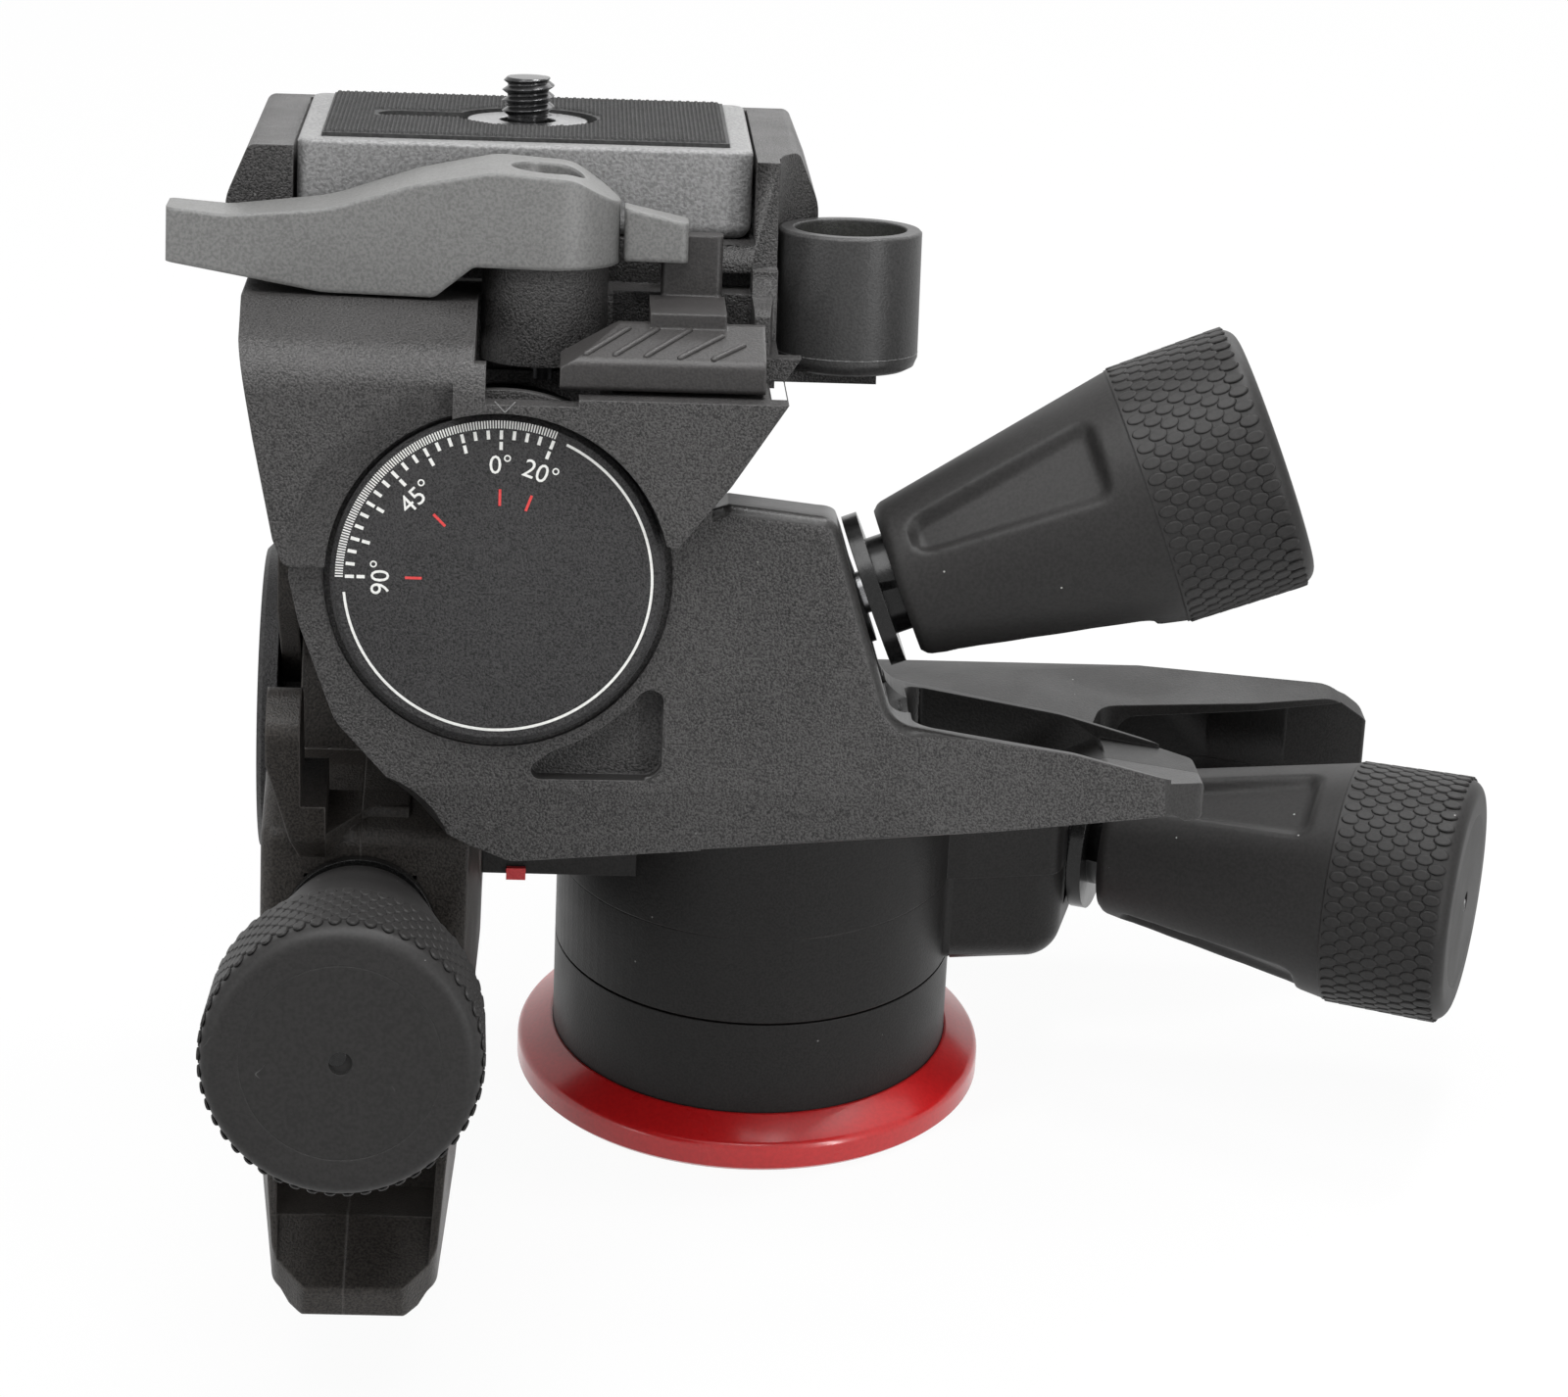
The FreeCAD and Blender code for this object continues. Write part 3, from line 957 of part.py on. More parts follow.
def safety_shape():
    """The safety lever: a ribbed thumb bar, its stem and the upright post."""
    x0, x1 = cell("bar_left"), cell("bar_right")
    low, high = cell("bar_low"), cell("bar_high")
    front, back = cell("bar_front"), cell("bar_back")
    px, py, pr = cell("catch_x"), cell("catch_y"), cell("catch_post")
    bar = seen_from_side([(front, low, 0.6), (front, low + 3.6, 1.2), (back - 2.0, high, 1.0),
                          (back, high, 0.6),
                          (back, cell("bar_step"), 0.5), (back - 4.0, low, 1.0)], x0, x1)
    slant_cut = Part.Face(Part.makePolygon([
        Vector(x0 - 1, front - 1, low + 2.0), Vector(x0 + 6.8, front - 1, high + 0.1),
        Vector(x0 - 1, front - 1, high + 0.1), Vector(x0 - 1, front - 1, low + 2.0)]))
    bar = bar.cut(slant_cut.extrude(Vector(0, 20, 0)))
    stem = cuboid(px - 6.5, px + 2.2, back - 3.0, py, cell("bar_step"), high + 1.4)
    post = disc(pr, cell("neck_low") + 1.6, cell("bar_step") + 1, px, py)
    return bar.fuse([stem, post, catch_post()]).removeSplitter()


def catch_post():
    """The upright part of the safety lever, behind the catch."""
    px, py, left = cell("catch_x"), cell("catch_y"), cell("post_left")
    front, back = py - 0.4, py + 2.4
    return rounded([(px - left, front), (px + 1.9, front), (px + 1.9, back), (px - left, back)],
                   0.8, cell("bar_step"), cell("hub_low") + 3.3)


node("safety_lever", solid("SafetyLever", safety_shape()), upper_frame)


def catch_shape():
    """The small catch beside the clamp lever's hub."""
    px, py = cell("catch_x"), cell("catch_y")
    hub = cell("hub_x") + cell("hub_radius") + 0.5
    low, high = cell("hub_low") + 0.4, cell("hub_low") + 7.2
    end = px - cell("catch_end")
    block_part = rounded([(hub, py - 2.3, 0.5), (end, py - 2.6, 0.8), (end, py + 2.4, 0.8),
                          (hub, py + 2.2, 0.5)], 0.6, low, high)
    slope = Part.Face(Part.makePolygon([
        Vector(hub - 3, py - 8, high), Vector(px + 4, py - 8, high - 3.6), Vector(px + 4, py - 8, high + 2),
        Vector(hub - 3, py - 8, high + 2), Vector(hub - 3, py - 8, high)]))
    return block_part.cut(slope.extrude(Vector(0, 16, 0))).cut(catch_post())


node("lever_catch", solid("LeverCatch", catch_shape()), upper_frame)


# ------------------------------------------------------------------ pan stage

def bridge_shape():
    """The rib that carries the lateral housing beside the pan drum."""
    left = cell("lateral_face") + cell("rear")
    low, high = 36.2, cell("pan_face") + cell("rear")
    return cuboid(left, -15.0, -20.0, 14.0, low, high).cut(disc(cell("column_radius") + 0.01, 0, 100))


node("side_bridge", solid("SideBridge", bridge_shape()))
index = block("Index", ("-31.6", "-20.6", "35.6"), ("-29.2", "-20", "37.2"))
node("pan_index", index)


# ------------------------------------------------------------------- write out

doc.recompute()
for thing in doc.Objects:
    if "Invalid" in thing.State or "Error" in thing.State:
        raise RuntimeError("failed object: %s %s" % (thing.Name, thing.State))

os.makedirs("parts", exist_ok=True)
for thing in finished:
    shape = thing.Shape
    if shape.isNull() or not shape.isValid() or not shape.Solids:
        raise RuntimeError("bad shape: " + thing.Label)
    shape.exportStep(os.path.join("parts", thing.Label + ".step"))
print("nodes", len(finished))
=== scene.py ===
import json
import math

import bmesh
import bpy
from mathutils import Matrix, Vector


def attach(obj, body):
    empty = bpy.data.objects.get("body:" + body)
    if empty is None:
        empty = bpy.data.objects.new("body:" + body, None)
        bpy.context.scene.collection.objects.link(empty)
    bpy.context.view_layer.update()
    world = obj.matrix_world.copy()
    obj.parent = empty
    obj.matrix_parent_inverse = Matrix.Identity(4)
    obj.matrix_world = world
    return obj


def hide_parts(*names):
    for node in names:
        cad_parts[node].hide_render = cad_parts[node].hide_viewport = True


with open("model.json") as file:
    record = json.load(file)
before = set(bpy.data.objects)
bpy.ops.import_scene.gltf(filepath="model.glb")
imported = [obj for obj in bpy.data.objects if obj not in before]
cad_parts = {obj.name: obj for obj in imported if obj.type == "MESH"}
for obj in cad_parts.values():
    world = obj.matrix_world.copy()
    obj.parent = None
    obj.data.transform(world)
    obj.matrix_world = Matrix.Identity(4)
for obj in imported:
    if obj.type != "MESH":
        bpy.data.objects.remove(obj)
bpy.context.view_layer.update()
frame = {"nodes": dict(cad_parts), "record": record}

# ------------------------------------------------------------------ table, lamps and camera
# The head stands on a pale table under a wide soft lamp and a small high one, with softboxes at the
# left and behind and a strip at the right. Table and room show white, with a faint shadow at the base.
MM = 0.001
scene = bpy.context.scene
scene.view_settings.view_transform = "Standard"


def put(tree, kind, joined=None, **settings):
    """Add a node to a tree, set it up, and fill or join its inputs."""
    made = tree.nodes.new(kind)
    for key, value in settings.items():
        setattr(made, key, value)
    for socket, source in (joined or {}).items():
        target = made.inputs[socket]
        if isinstance(source, bpy.types.NodeSocket):
            tree.links.new(source, target)
        else:
            target.default_value = source
    return made


def reckon(tree, kind, a, b=0.0):
    """One arithmetic step in a tree."""
    return put(tree, "ShaderNodeMath", {0: a, 1: b}, operation=kind).outputs[0]


def ranged(tree, value, source=(0.0, 1.0), target=(0.0, 1.0)):
    """Carry a value from one range over to another, held at its ends."""
    return put(tree, "ShaderNodeMapRange", {"Value": value, "From Min": source[0], "From Max": source[1],
                                            "To Min": target[0], "To Max": target[1]}).outputs[0]


def linked(name, data):
    """An object of the scene that holds a mesh, a lamp, a camera or letters."""
    made = bpy.data.objects.new(name, data)
    scene.collection.objects.link(made)
    return made


def seen_directly(tree):
    """1 for rays from the eye, from gloss and through glass, 0 for the rest."""
    rays = put(tree, "ShaderNodeLightPath").outputs
    gloss = reckon(tree, "MAXIMUM", rays["Is Camera Ray"], rays["Is Glossy Ray"])
    return reckon(tree, "MAXIMUM", gloss, rays["Is Transmission Ray"])


ambient = 0.20
room = bpy.data.worlds.new("Room")
scene.world = room
room.use_nodes = True
tree = room.node_tree
tree.nodes.clear()
room_light = ranged(tree, seen_directly(tree), target=(ambient, 1.0))
sky = put(tree, "ShaderNodeBackground", {"Color": (1, 1, 1, 1), "Strength": room_light})
put(tree, "ShaderNodeOutputWorld", {"Surface": sky.outputs[0]})

table_half, table_sunk, table_white = 2.5, 0.0002, 0.95
table_corners = [(x * table_half, y * table_half, -table_sunk)
                 for x, y in ((-1, -1), (1, -1), (1, 1), (-1, 1))]
table = linked("Table", bpy.data.meshes.new("Table"))
table.data.from_pydata(table_corners, [], [(0, 1, 2, 3)])
table_top = bpy.data.materials.new("Table top")
table_top.use_nodes = True
tree = table_top.node_tree
tree.nodes.clear()
pale = put(tree, "ShaderNodeBsdfDiffuse", {"Color": (0.82, 0.82, 0.82, 1)})
white = put(tree, "ShaderNodeEmission", {"Color": (1, 1, 1, 1), "Strength": 1.0})
white_share = reckon(tree, "MULTIPLY", seen_directly(tree), table_white)
both = put(tree, "ShaderNodeMixShader", {0: white_share, 1: pale.outputs[0], 2: white.outputs[0]})
put(tree, "ShaderNodeOutputMaterial", {"Surface": both.outputs[0]})
table.data.materials.append(table_top)


def softbox(name, place, width, height, watts):
    """A rectangular lamp that faces the middle of the head."""
    lamp = bpy.data.lights.new(name, "AREA")
    lamp.shape = "RECTANGLE"
    lamp.size = width
    lamp.size_y = height
    lamp.energy = watts
    holder = linked(name, lamp)
    holder.location = place
    holder.rotation_euler = (head_middle - Vector(place)).to_track_quat("-Z", "Y").to_euler()


head_middle = Vector((0, 0, 0.07))
softbox("Top box", (-0.08, -0.16, 0.60), 0.50, 0.40, 3.7)
softbox("High box", (0.15, 0.13, 0.60), 0.07, 0.16, 1.7)
softbox("Left box", (-0.55, -0.42, 0.30), 0.16, 0.5, 0.9)
softbox("Right strip", (0.46, -0.54, 0.26), 0.06, 0.5, 2.0)
softbox("Back box", (0.25, 0.60, 0.45), 0.5, 0.3, 1.3)

# a long lens, a little above the head and looking down on to it
azimuth, elevation, roll = math.radians(-2.72), math.radians(24.76), math.radians(2.66)
aim, distance = Vector((2.64, 0, 65.34)) * MM, 0.68314
back = Vector((math.sin(azimuth) * math.cos(elevation), -math.cos(azimuth) * math.cos(elevation),
               math.sin(elevation)))
level_right = (-back).cross(Vector((0, 0, 1))).normalized()
level_up = level_right.cross(-back)
right = level_right * math.cos(roll) + level_up * math.sin(roll)
up = level_up * math.cos(roll) - level_right * math.sin(roll)
lens = bpy.data.cameras.new("Camera")
lens.sensor_width = 36
lens.lens = 125.36
lens.shift_x = -0.00244
lens.shift_y = -0.06345
lens.clip_start = 0.01
lens.clip_end = 20
camera = linked("Camera", lens)
camera.matrix_world = (Matrix.Translation(aim + back * distance)
                       @ Matrix((right, up, back)).transposed().to_4x4())
scene.camera = camera

# ------------------------------------------------------------------ base
# A turned aluminium column under fine black paint, with a red lacquered ring pressed on its foot
# and a steel bush with the tripod's thread in the middle. The ring's upper edge is bevelled.
record = frame["record"]
body_of = {node: body for body, nodes in record["behaviour"]["bodies"].items() for node in nodes}
joint_of = {joint["name"]: joint for joint in record["behaviour"]["joints"]}


def effect(name, values):
    """An empty shader group with a place on the object and number inputs, and its two ends."""
    group = bpy.data.node_groups.new(name, "ShaderNodeTree")
    group.interface.new_socket("Place", in_out="INPUT", socket_type="NodeSocketVector")
    for label, value in values.items():
        group.interface.new_socket(label, in_out="INPUT", socket_type="NodeSocketFloat").default_value = value
    return group, put(group, "NodeGroupInput").outputs, put(group, "NodeGroupOutput")


def give(group, end, label, socket):
    """Put a number out of a group under a name."""
    group.interface.new_socket(label, in_out="OUTPUT", socket_type="NodeSocketFloat")
    group.links.new(socket, end.inputs[label])


def noise(tree, place, scale, **inputs):
    """Cloudy noise over a place."""
    return put(tree, "ShaderNodeTexNoise", {"Vector": place, "Scale": scale, **inputs}).outputs[0]


def blended(tree, share, first, second):
    """Two colours mixed by a share."""
    return put(tree, "ShaderNodeMix", {0: share, 6: first, 7: second}, data_type="RGBA").outputs[2]


# sandy paint or moulded grain: small rounded bumps, painted shade in their hollows and highlight on top, and
# a cloudy tone
grain, given, end = effect("Grain", {"Size mm": 0.3, "Roundness": 0.5})
grains_per_metre = reckon(grain, "DIVIDE", 1000.0, given["Size mm"])
sand = noise(grain, given["Place"], grains_per_metre, Detail=2.0, Roughness=given["Roundness"])
bumps = ranged(grain, sand, (0.34, 0.68))
give(grain, end, "Height", bumps)
cloud = noise(grain, given["Place"], reckon(grain, "MULTIPLY", grains_per_metre, 0.02), Detail=3.0)
give(grain, end, "Tone", reckon(grain, "ADD", bumps, reckon(grain, "MULTIPLY", cloud, 0.35)))

# what hands leave: broad smudges, and a few hair-thin scratches where the smudges are thickest
handling, given, end = effect("Handling", {"Smudge mm": 14.0, "Scratch mm": 5.0})
smear = noise(handling, given["Place"], reckon(handling, "DIVIDE", 1000.0, given["Smudge mm"]),
              Detail=4.0, Roughness=0.6, Distortion=0.6)
give(handling, end, "Smudge", smear)
bent = noise(handling, given["Place"], reckon(handling, "DIVIDE", 1000.0, given["Scratch mm"]), Detail=1.0)
from_line = reckon(handling, "ABSOLUTE", reckon(handling, "SUBTRACT", bent, 0.5))
hair = ranged(handling, from_line, (0.0, 0.0035), (1.0, 0.0))
thickest = ranged(handling, smear, (0.60, 0.66))
give(handling, end, "Scratch", reckon(handling, "MULTIPLY", hair, thickest))

# specks of dust that settle on the skin, thin and far apart
dust, given, end = effect("Dust", {"Spacing mm": 5.0, "Size mm": 0.12})
cells = put(dust, "ShaderNodeTexVoronoi", {"Vector": given["Place"],
                                           "Scale": reckon(dust, "DIVIDE", 1000.0, given["Spacing mm"])})
speck_reach = reckon(dust, "DIVIDE", given["Size mm"], given["Spacing mm"])
give(dust, end, "Specks", reckon(dust, "LESS_THAN", cells.outputs["Distance"], speck_reach))

dust_tone = (0.35, 0.35, 0.34, 1)


def finish(name, dark, light, rough=(0.4, 0.55), grain_mm=0.3, depth_mm=0.02, edge_mm=0.25, edge_highlight=0.0,
           specks=0.0, scratch=0.15, roundness=0.5, **shader):
    """A painted, moulded or machined surface: grain, smudges, a painted highlight on rounded edges and dust
    over two tones.
    """
    skin = bpy.data.materials.new(name)
    skin.use_nodes = True
    tree = skin.node_tree
    tree.nodes.clear()
    place = put(tree, "ShaderNodeTexCoord").outputs["Object"]
    sandy = put(tree, "ShaderNodeGroup", node_tree=grain)
    sandy.inputs["Size mm"].default_value = grain_mm
    sandy.inputs["Roundness"].default_value = roundness
    worn = put(tree, "ShaderNodeGroup", node_tree=handling)
    dusty = put(tree, "ShaderNodeGroup", node_tree=dust)
    for group in (sandy, worn, dusty):
        tree.links.new(place, group.inputs["Place"])
    # the grain's tone mixes the two: the dark one as painted shade in its hollows, the light one as painted
    # highlight on its bumps
    plain = blended(tree, sandy.outputs["Tone"], (*dark, 1), (*light, 1))
    # painted highlight: a rounded corner is painted paler, where the eased normal parts from the flat one
    eased = put(tree, "ShaderNodeBevel", {"Radius": edge_mm * MM}, samples=6).outputs[0]
    flat = put(tree, "ShaderNodeNewGeometry").outputs["Normal"]
    cosine = put(tree, "ShaderNodeVectorMath", {0: eased, 1: flat}, operation="DOT_PRODUCT").outputs["Value"]
    edge_highlight_share = ranged(tree, cosine, (0.99, 0.80), (0.0, edge_highlight))
    # the pale tone serves both the painted edge highlight and the real scratches
    pale_tone = (*(min(1.0, c * 2.2 + 0.05) for c in light), 1)
    edged = blended(tree, edge_highlight_share, plain, pale_tone)
    scored = blended(tree, reckon(tree, "MULTIPLY", worn.outputs["Scratch"], scratch), edged, pale_tone)
    sprinkled = reckon(tree, "MULTIPLY", dusty.outputs["Specks"], specks)
    colour = blended(tree, sprinkled, scored, dust_tone)
    gloss = ranged(tree, worn.outputs["Smudge"], (0.3, 0.7), rough)
    bump = put(tree, "ShaderNodeBump", {"Height": sandy.outputs["Height"], "Distance": depth_mm * MM,
                                        "Strength": 1.0, "Normal": eased})
    surface = put(tree, "ShaderNodeBsdfPrincipled", {"Base Color": colour, "Roughness": gloss,
                                                     "Normal": bump.outputs[0]})
    for socket, value in shader.items():
        surface.inputs[socket.replace("_", " ")].default_value = value
    put(tree, "ShaderNodeOutputMaterial", {"Surface": surface.outputs[0]})
    return skin


def ride_along(piece, node):
    """Let a finished piece ride with a solid's body."""
    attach(piece, body_of[node])
    return piece


def settle(piece, node):
    """Let a finished piece ride with a solid's body and stand for it."""
    ride_along(piece, node)
    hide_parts(node)
    return piece


def dressed(piece, place, skin):
    """Move a piece's mesh to its place and give it its finish."""
    piece.data.transform(place)
    piece.data.materials.append(skin)
    return piece


def hard_edges(mesh, angle):
    """Shade a mesh round, with its corners kept sharp and its flats kept flat."""
    mesh.shade_smooth()
    mesh.set_sharp_from_angle(angle=math.radians(angle))


def baked(piece):
    """Turn an object's modifiers into plain mesh."""
    evaluated = piece.evaluated_get(bpy.context.evaluated_depsgraph_get())
    plain = bpy.data.meshes.new_from_object(evaluated)
    piece.modifiers.clear()
    piece.data = plain
    return piece


facet_joint, facet_sliver, facet_angle, face_on = 2e-6, 1e-6, 0.4, 0.93


def cast(node, skin, crease=24, side_skin=None, front=None, eased_mm=0.0):
    """A piece with the shape of its solid, its facets merged and shaded as the curves they stand for.

    With a side skin, only the faces that look along the front direction keep the first one."""
    mesh = bpy.data.meshes.new(node + "_skin")
    shell = bmesh.new()
    shell.from_mesh(frame["nodes"][node].data)
    bmesh.ops.remove_doubles(shell, verts=shell.verts, dist=facet_joint)
    bmesh.ops.dissolve_degenerate(shell, edges=shell.edges, dist=facet_sliver)
    bmesh.ops.dissolve_limit(shell, angle_limit=math.radians(facet_angle), verts=shell.verts,
                             edges=shell.edges)
    shell.to_mesh(mesh)
    shell.free()
    mesh.materials.clear()
    mesh.materials.append(skin)
    if side_skin is not None:
        mesh.materials.append(side_skin)
        for face in mesh.polygons:
            face.material_index = int(face.normal.dot(front) < face_on)
    hard_edges(mesh, crease)
    piece = linked(node + "_cast", mesh)
    if eased_mm:
        round_over = piece.modifiers.new("Eased", "BEVEL")
        round_over.width = eased_mm * MM
        round_over.segments = 3
        round_over.limit_method = "ANGLE"
        round_over.angle_limit = math.radians(30)
        round_over.harden_normals = False
    even = piece.modifiers.new("Even", "WEIGHTED_NORMAL")
    even.keep_sharp = True
    even.weight = 100
    return settle(baked(piece), node)


def solid(name, shell, crease=None):
    """A piece from a closed shell, its faces pointing outwards, shaded round if it has a crease angle."""
    bmesh.ops.recalc_face_normals(shell, faces=shell.faces)
    mesh = bpy.data.meshes.new(name)
    shell.to_mesh(mesh)
    shell.free()
    if crease:
        hard_edges(mesh, crease)
    return linked(name, mesh)


def wrap(shell, rings, closed=False):
    """Stretch a skin over rings of points, whose last may join the first, and give its rows of corners."""
    rows = [[shell.verts.new(point) for point in ring] for ring in rings]
    for low, high in zip(rows, rows[1:] + rows[:1] * closed):
        for i in range(len(low)):
            j = (i + 1) % len(low)
            shell.faces.new((low[i], low[j], high[j], high[i]))
    return rows


def turned(name, profile, around, hole=False):
    """A piece turned about Z from pairs of radius and height.

    The pairs start and end on the axis, or with a hole they go once round a ring's section."""
    shell = bmesh.new()
    edge = profile if hole else profile[1:-1]
    turns = [math.tau * i / around for i in range(around)]
    rows = wrap(shell, [[(radius * math.cos(turn), radius * math.sin(turn), height) for turn in turns]
                        for radius, height in edge], closed=hole)
    if not hole:
        for height, row in ((profile[0][1], rows[0]), (profile[-1][1], rows[-1])):
            centre = shell.verts.new((0, 0, height))
            for i in range(around):
                shell.faces.new((centre, row[i], row[(i + 1) % around]))
    return solid(name, shell, crease=30)


def rounded_corner(centre, radius, first, last, steps=6):
    """Points round a corner of a profile, between two angles in degrees."""
    bends = [math.radians(first + (last - first) * i / steps) for i in range(steps + 1)]
    return [(centre[0] + radius * math.cos(bend), centre[1] + radius * math.sin(bend)) for bend in bends]


red = finish("Red lacquer", (0.52, 0.008, 0.010), (0.60, 0.012, 0.014), rough=(0.26, 0.36), grain_mm=0.5,
             depth_mm=0.001, edge_mm=0.1, Coat_Weight=0.7, Coat_Roughness=0.16, Specular_IOR_Level=0.3)
satin = finish("Satin black paint", (0.006, 0.0057, 0.0056), (0.014, 0.0133, 0.013), rough=(0.36, 0.48),
               depth_mm=0.012, edge_highlight=0.16, specks=0.5, Specular_IOR_Level=0.2)
steel = finish("Turned steel", (0.36, 0.36, 0.37), (0.5, 0.5, 0.51), rough=(0.22, 0.36), grain_mm=0.2,
               depth_mm=0.004, edge_mm=0.15, edge_highlight=0.3, Metallic=1.0)

ring_in, ring_out, ring_land = 25.35, 29.8, 25.7
ring_wall, ring_top, ring_foot_cut = 3.8, 5.9, 0.5
shoulder, shoulder_drop, lip, lip_in, bevel_angle = 1.3, 1.05, 0.35, 0.15, 63
ring_profile = [(ring_in, 0.0), (ring_out - ring_foot_cut, 0.0), (ring_out, ring_foot_cut)]
ring_profile += rounded_corner((ring_out - shoulder, ring_wall - shoulder_drop), shoulder, 0, bevel_angle)
ring_profile += rounded_corner((ring_land - lip_in, ring_top - lip), lip, bevel_angle, 90, steps=3)
ring_profile += [(ring_in, ring_top)]
base_ring = turned("base_ring_turned", ring_profile, 128, hole=True)
settle(dressed(base_ring, Matrix.Scale(MM, 4), red), "base_ring")
cast("base_column", satin)
cast("thread_insert", steel)
cast("pan_post", steel)

# ------------------------------------------------------------------ pan housing
# Two die-cast shells around the pan gear, with the long squeeze lever in one piece with them.
# The paint is satin, and a small red index tells how far the head has turned.
for node in ("pan_housing_lower", "pan_housing_upper", "side_bridge"):
    cast(node, satin)
index_red = finish("Index red", (0.50, 0.02, 0.025), (0.6, 0.035, 0.04), rough=(0.4, 0.5), edge_mm=0.1)
cast("pan_index", index_red)

# ------------------------------------------------------------------ gear trains
# In each unit a brass wheel meets a steel worm, carried in a swinging block that a spring presses on.
# They are machined and greased, and show only through the gaps of the shells.
brass = finish("Cut brass", (0.42, 0.28, 0.10), (0.58, 0.42, 0.18), rough=(0.24, 0.4), grain_mm=0.2,
               depth_mm=0.004, edge_mm=0.08, edge_highlight=0.2, Metallic=1.0)
filled = finish("Glass-filled nylon", (0.008, 0.008, 0.008), (0.018, 0.018, 0.019), rough=(0.32, 0.46),
                depth_mm=0.01, edge_mm=0.15, edge_highlight=0.2, Specular_IOR_Level=0.25)
wire = finish("Spring wire", (0.3, 0.3, 0.31), (0.42, 0.42, 0.43), rough=(0.25, 0.35), depth_mm=0.002,
              Metallic=1.0)
units = ("pan", "lateral", "front")
for unit in units:
    cast(unit + "_worm_wheel", brass)
    cast(unit + "_worm_shaft", steel)
    cast(unit + "_worm_carrier", filled)
    cast(unit + "_pivot_pin", steel)
    cast(unit + "_carrier_spring", wire)

# ------------------------------------------------------------------ knobs
# Each knob is a nylon core under a soft-touch cone with three long flutes and a band of raised scales,
# closed by a cap that shows the mark where it was filled. Stations are counted along the worm.
soft = finish("Soft touch", (0.011, 0.0106, 0.0104), (0.018, 0.0172, 0.017), rough=(0.46, 0.56), grain_mm=0.4,
              depth_mm=0.002, edge_mm=0.3, edge_highlight=0.1, specks=1.0, scratch=0.5, Specular_IOR_Level=0.25)
cap_skin = finish("Knob cap", (0.010, 0.0097, 0.0094), (0.017, 0.0163, 0.016), rough=(0.5, 0.6), grain_mm=0.5,
                  depth_mm=0.002, edge_mm=0.2, edge_highlight=0.1, specks=0.8, scratch=0.9, Specular_IOR_Level=0.25)
core_skin = finish("Glossy nylon", (0.004, 0.004, 0.004), (0.009, 0.009, 0.009), rough=(0.16, 0.28),
                   grain_mm=0.4, depth_mm=0.003, edge_mm=0.15, edge_highlight=0.1, Specular_IOR_Level=0.3)
knob_start, knob_small, knob_core, knob_lip = 42.5, 9.1, 6.02, 0.6
band_start, band_small, band_end, band_large, band_proud = 72.8, 15.2, 86.6, 15.5, 0.12
band_groove, band_land = 0.15, 0.5
face_end, face_round = 88.6, 2.0
shell_wall, cap_depth = 2.4, 3.0
flute_turns = (52, 172, 292)
flute_low, flute_high, flute_near, flute_far = 45.2, 69.6, 2.6, 5.9
flute_depth, flute_soft, flute_corner, flute_flat = 1.7, 1.5, 2.4, 0.8


def axes_at(joint, x, y, z):
    """Millimetres along three directions, counted from a joint's place."""
    return (Matrix.Translation(joint_of[joint]["pos_m"]) @ Matrix((x, y, z)).transposed().to_4x4()
            @ Matrix.Scale(MM, 4))


def worm_place(unit):
    """Where a unit's worm and knob stand: X away from the wheel, Y across and Z along the worm."""
    along = Vector(joint_of[unit + "_knob_turn"]["axis"]).normalized()
    across = -Vector(joint_of[unit + "_release"]["axis"]).normalized()
    return axes_at(unit + "_knob_turn", across.cross(along), across, along)


def cone_radius(s):
    """The radius of the plain cone at a station."""
    return knob_small + (band_small - knob_small) * (s - knob_start) / (band_start - knob_start)


def flute_drop(s, turn):
    """How far the flutes sink the cone at a station and an angle, with soft edges."""
    radius = cone_radius(s)
    share = (s - flute_low) / (flute_high - flute_low)
    half = flute_near + (flute_far - flute_near) * min(1, max(0, share))
    for centre in flute_turns:
        swing = (turn - centre + 180) % 360 - 180
        # how far inside a rounded trapezoid the point lies
        aside = half - radius * math.radians(abs(swing))
        ahead = min(s - flute_low, flute_high - s)
        inset = min(aside, ahead)
        if max(aside, ahead) < flute_corner:
            inset = flute_corner - math.hypot(flute_corner - aside, flute_corner - ahead)
        if inset > 0:
            depth = min(1, inset / flute_soft)
            chord = radius * (1 - math.cos(math.radians(swing)))
            return depth * depth * (3 - 2 * depth) * max(0, flute_depth - chord * flute_flat)
    return 0.0


def knob_cone(name, around=180, steps=64):
    """The soft cone: a turned shell whose flutes are pressed into it, in worm-frame millimetres."""
    stations = [(knob_core, knob_start), (knob_small - knob_lip, knob_start),
                (knob_small, knob_start + knob_lip)]
    cone_length = band_start - band_groove - knob_start - knob_lip
    for i in range(1, steps):
        s = knob_start + knob_lip + cone_length * i / steps
        stations.append((cone_radius(s), s))
    # a fine groove parts the cone from the band
    stations += [(band_small - 0.03, band_start - 0.12), (band_small - 0.02, band_start - 0.02),
                 (band_small + band_proud, band_start + 0.05),
                 (band_small + band_proud, band_start + band_land)]
    for i in range(1, 7):
        radius = band_small + (band_large - band_small) * i / 6 + band_proud * (i < 6)
        stations.append((radius, band_start + band_land + (band_end - band_start - band_land - 0.1) * i / 6))
    for i in range(1, 10):
        bend = math.radians(10 * i)
        stations.append((band_large - face_round * (1 - math.cos(bend)),
                         band_end + face_round * math.sin(bend)))
    mouth = band_large - face_round - shell_wall
    stations += [(mouth, face_end), (mouth, face_end - cap_depth), (knob_core, face_end - cap_depth)]
    rings = []
    for radius, s in stations:
        fluted = radius > knob_core + 1 and s < band_start - 1
        ring = []
        for i in range(around):
            turn = 360 * i / around
            reach = radius - (flute_drop(s, turn) if fluted else 0)
            ring.append((reach * math.cos(math.radians(turn)), reach * math.sin(math.radians(turn)), s))
        rings.append(ring)
    shell = bmesh.new()
    wrap(shell, rings, closed=True)
    return solid(name, shell, crease=40)


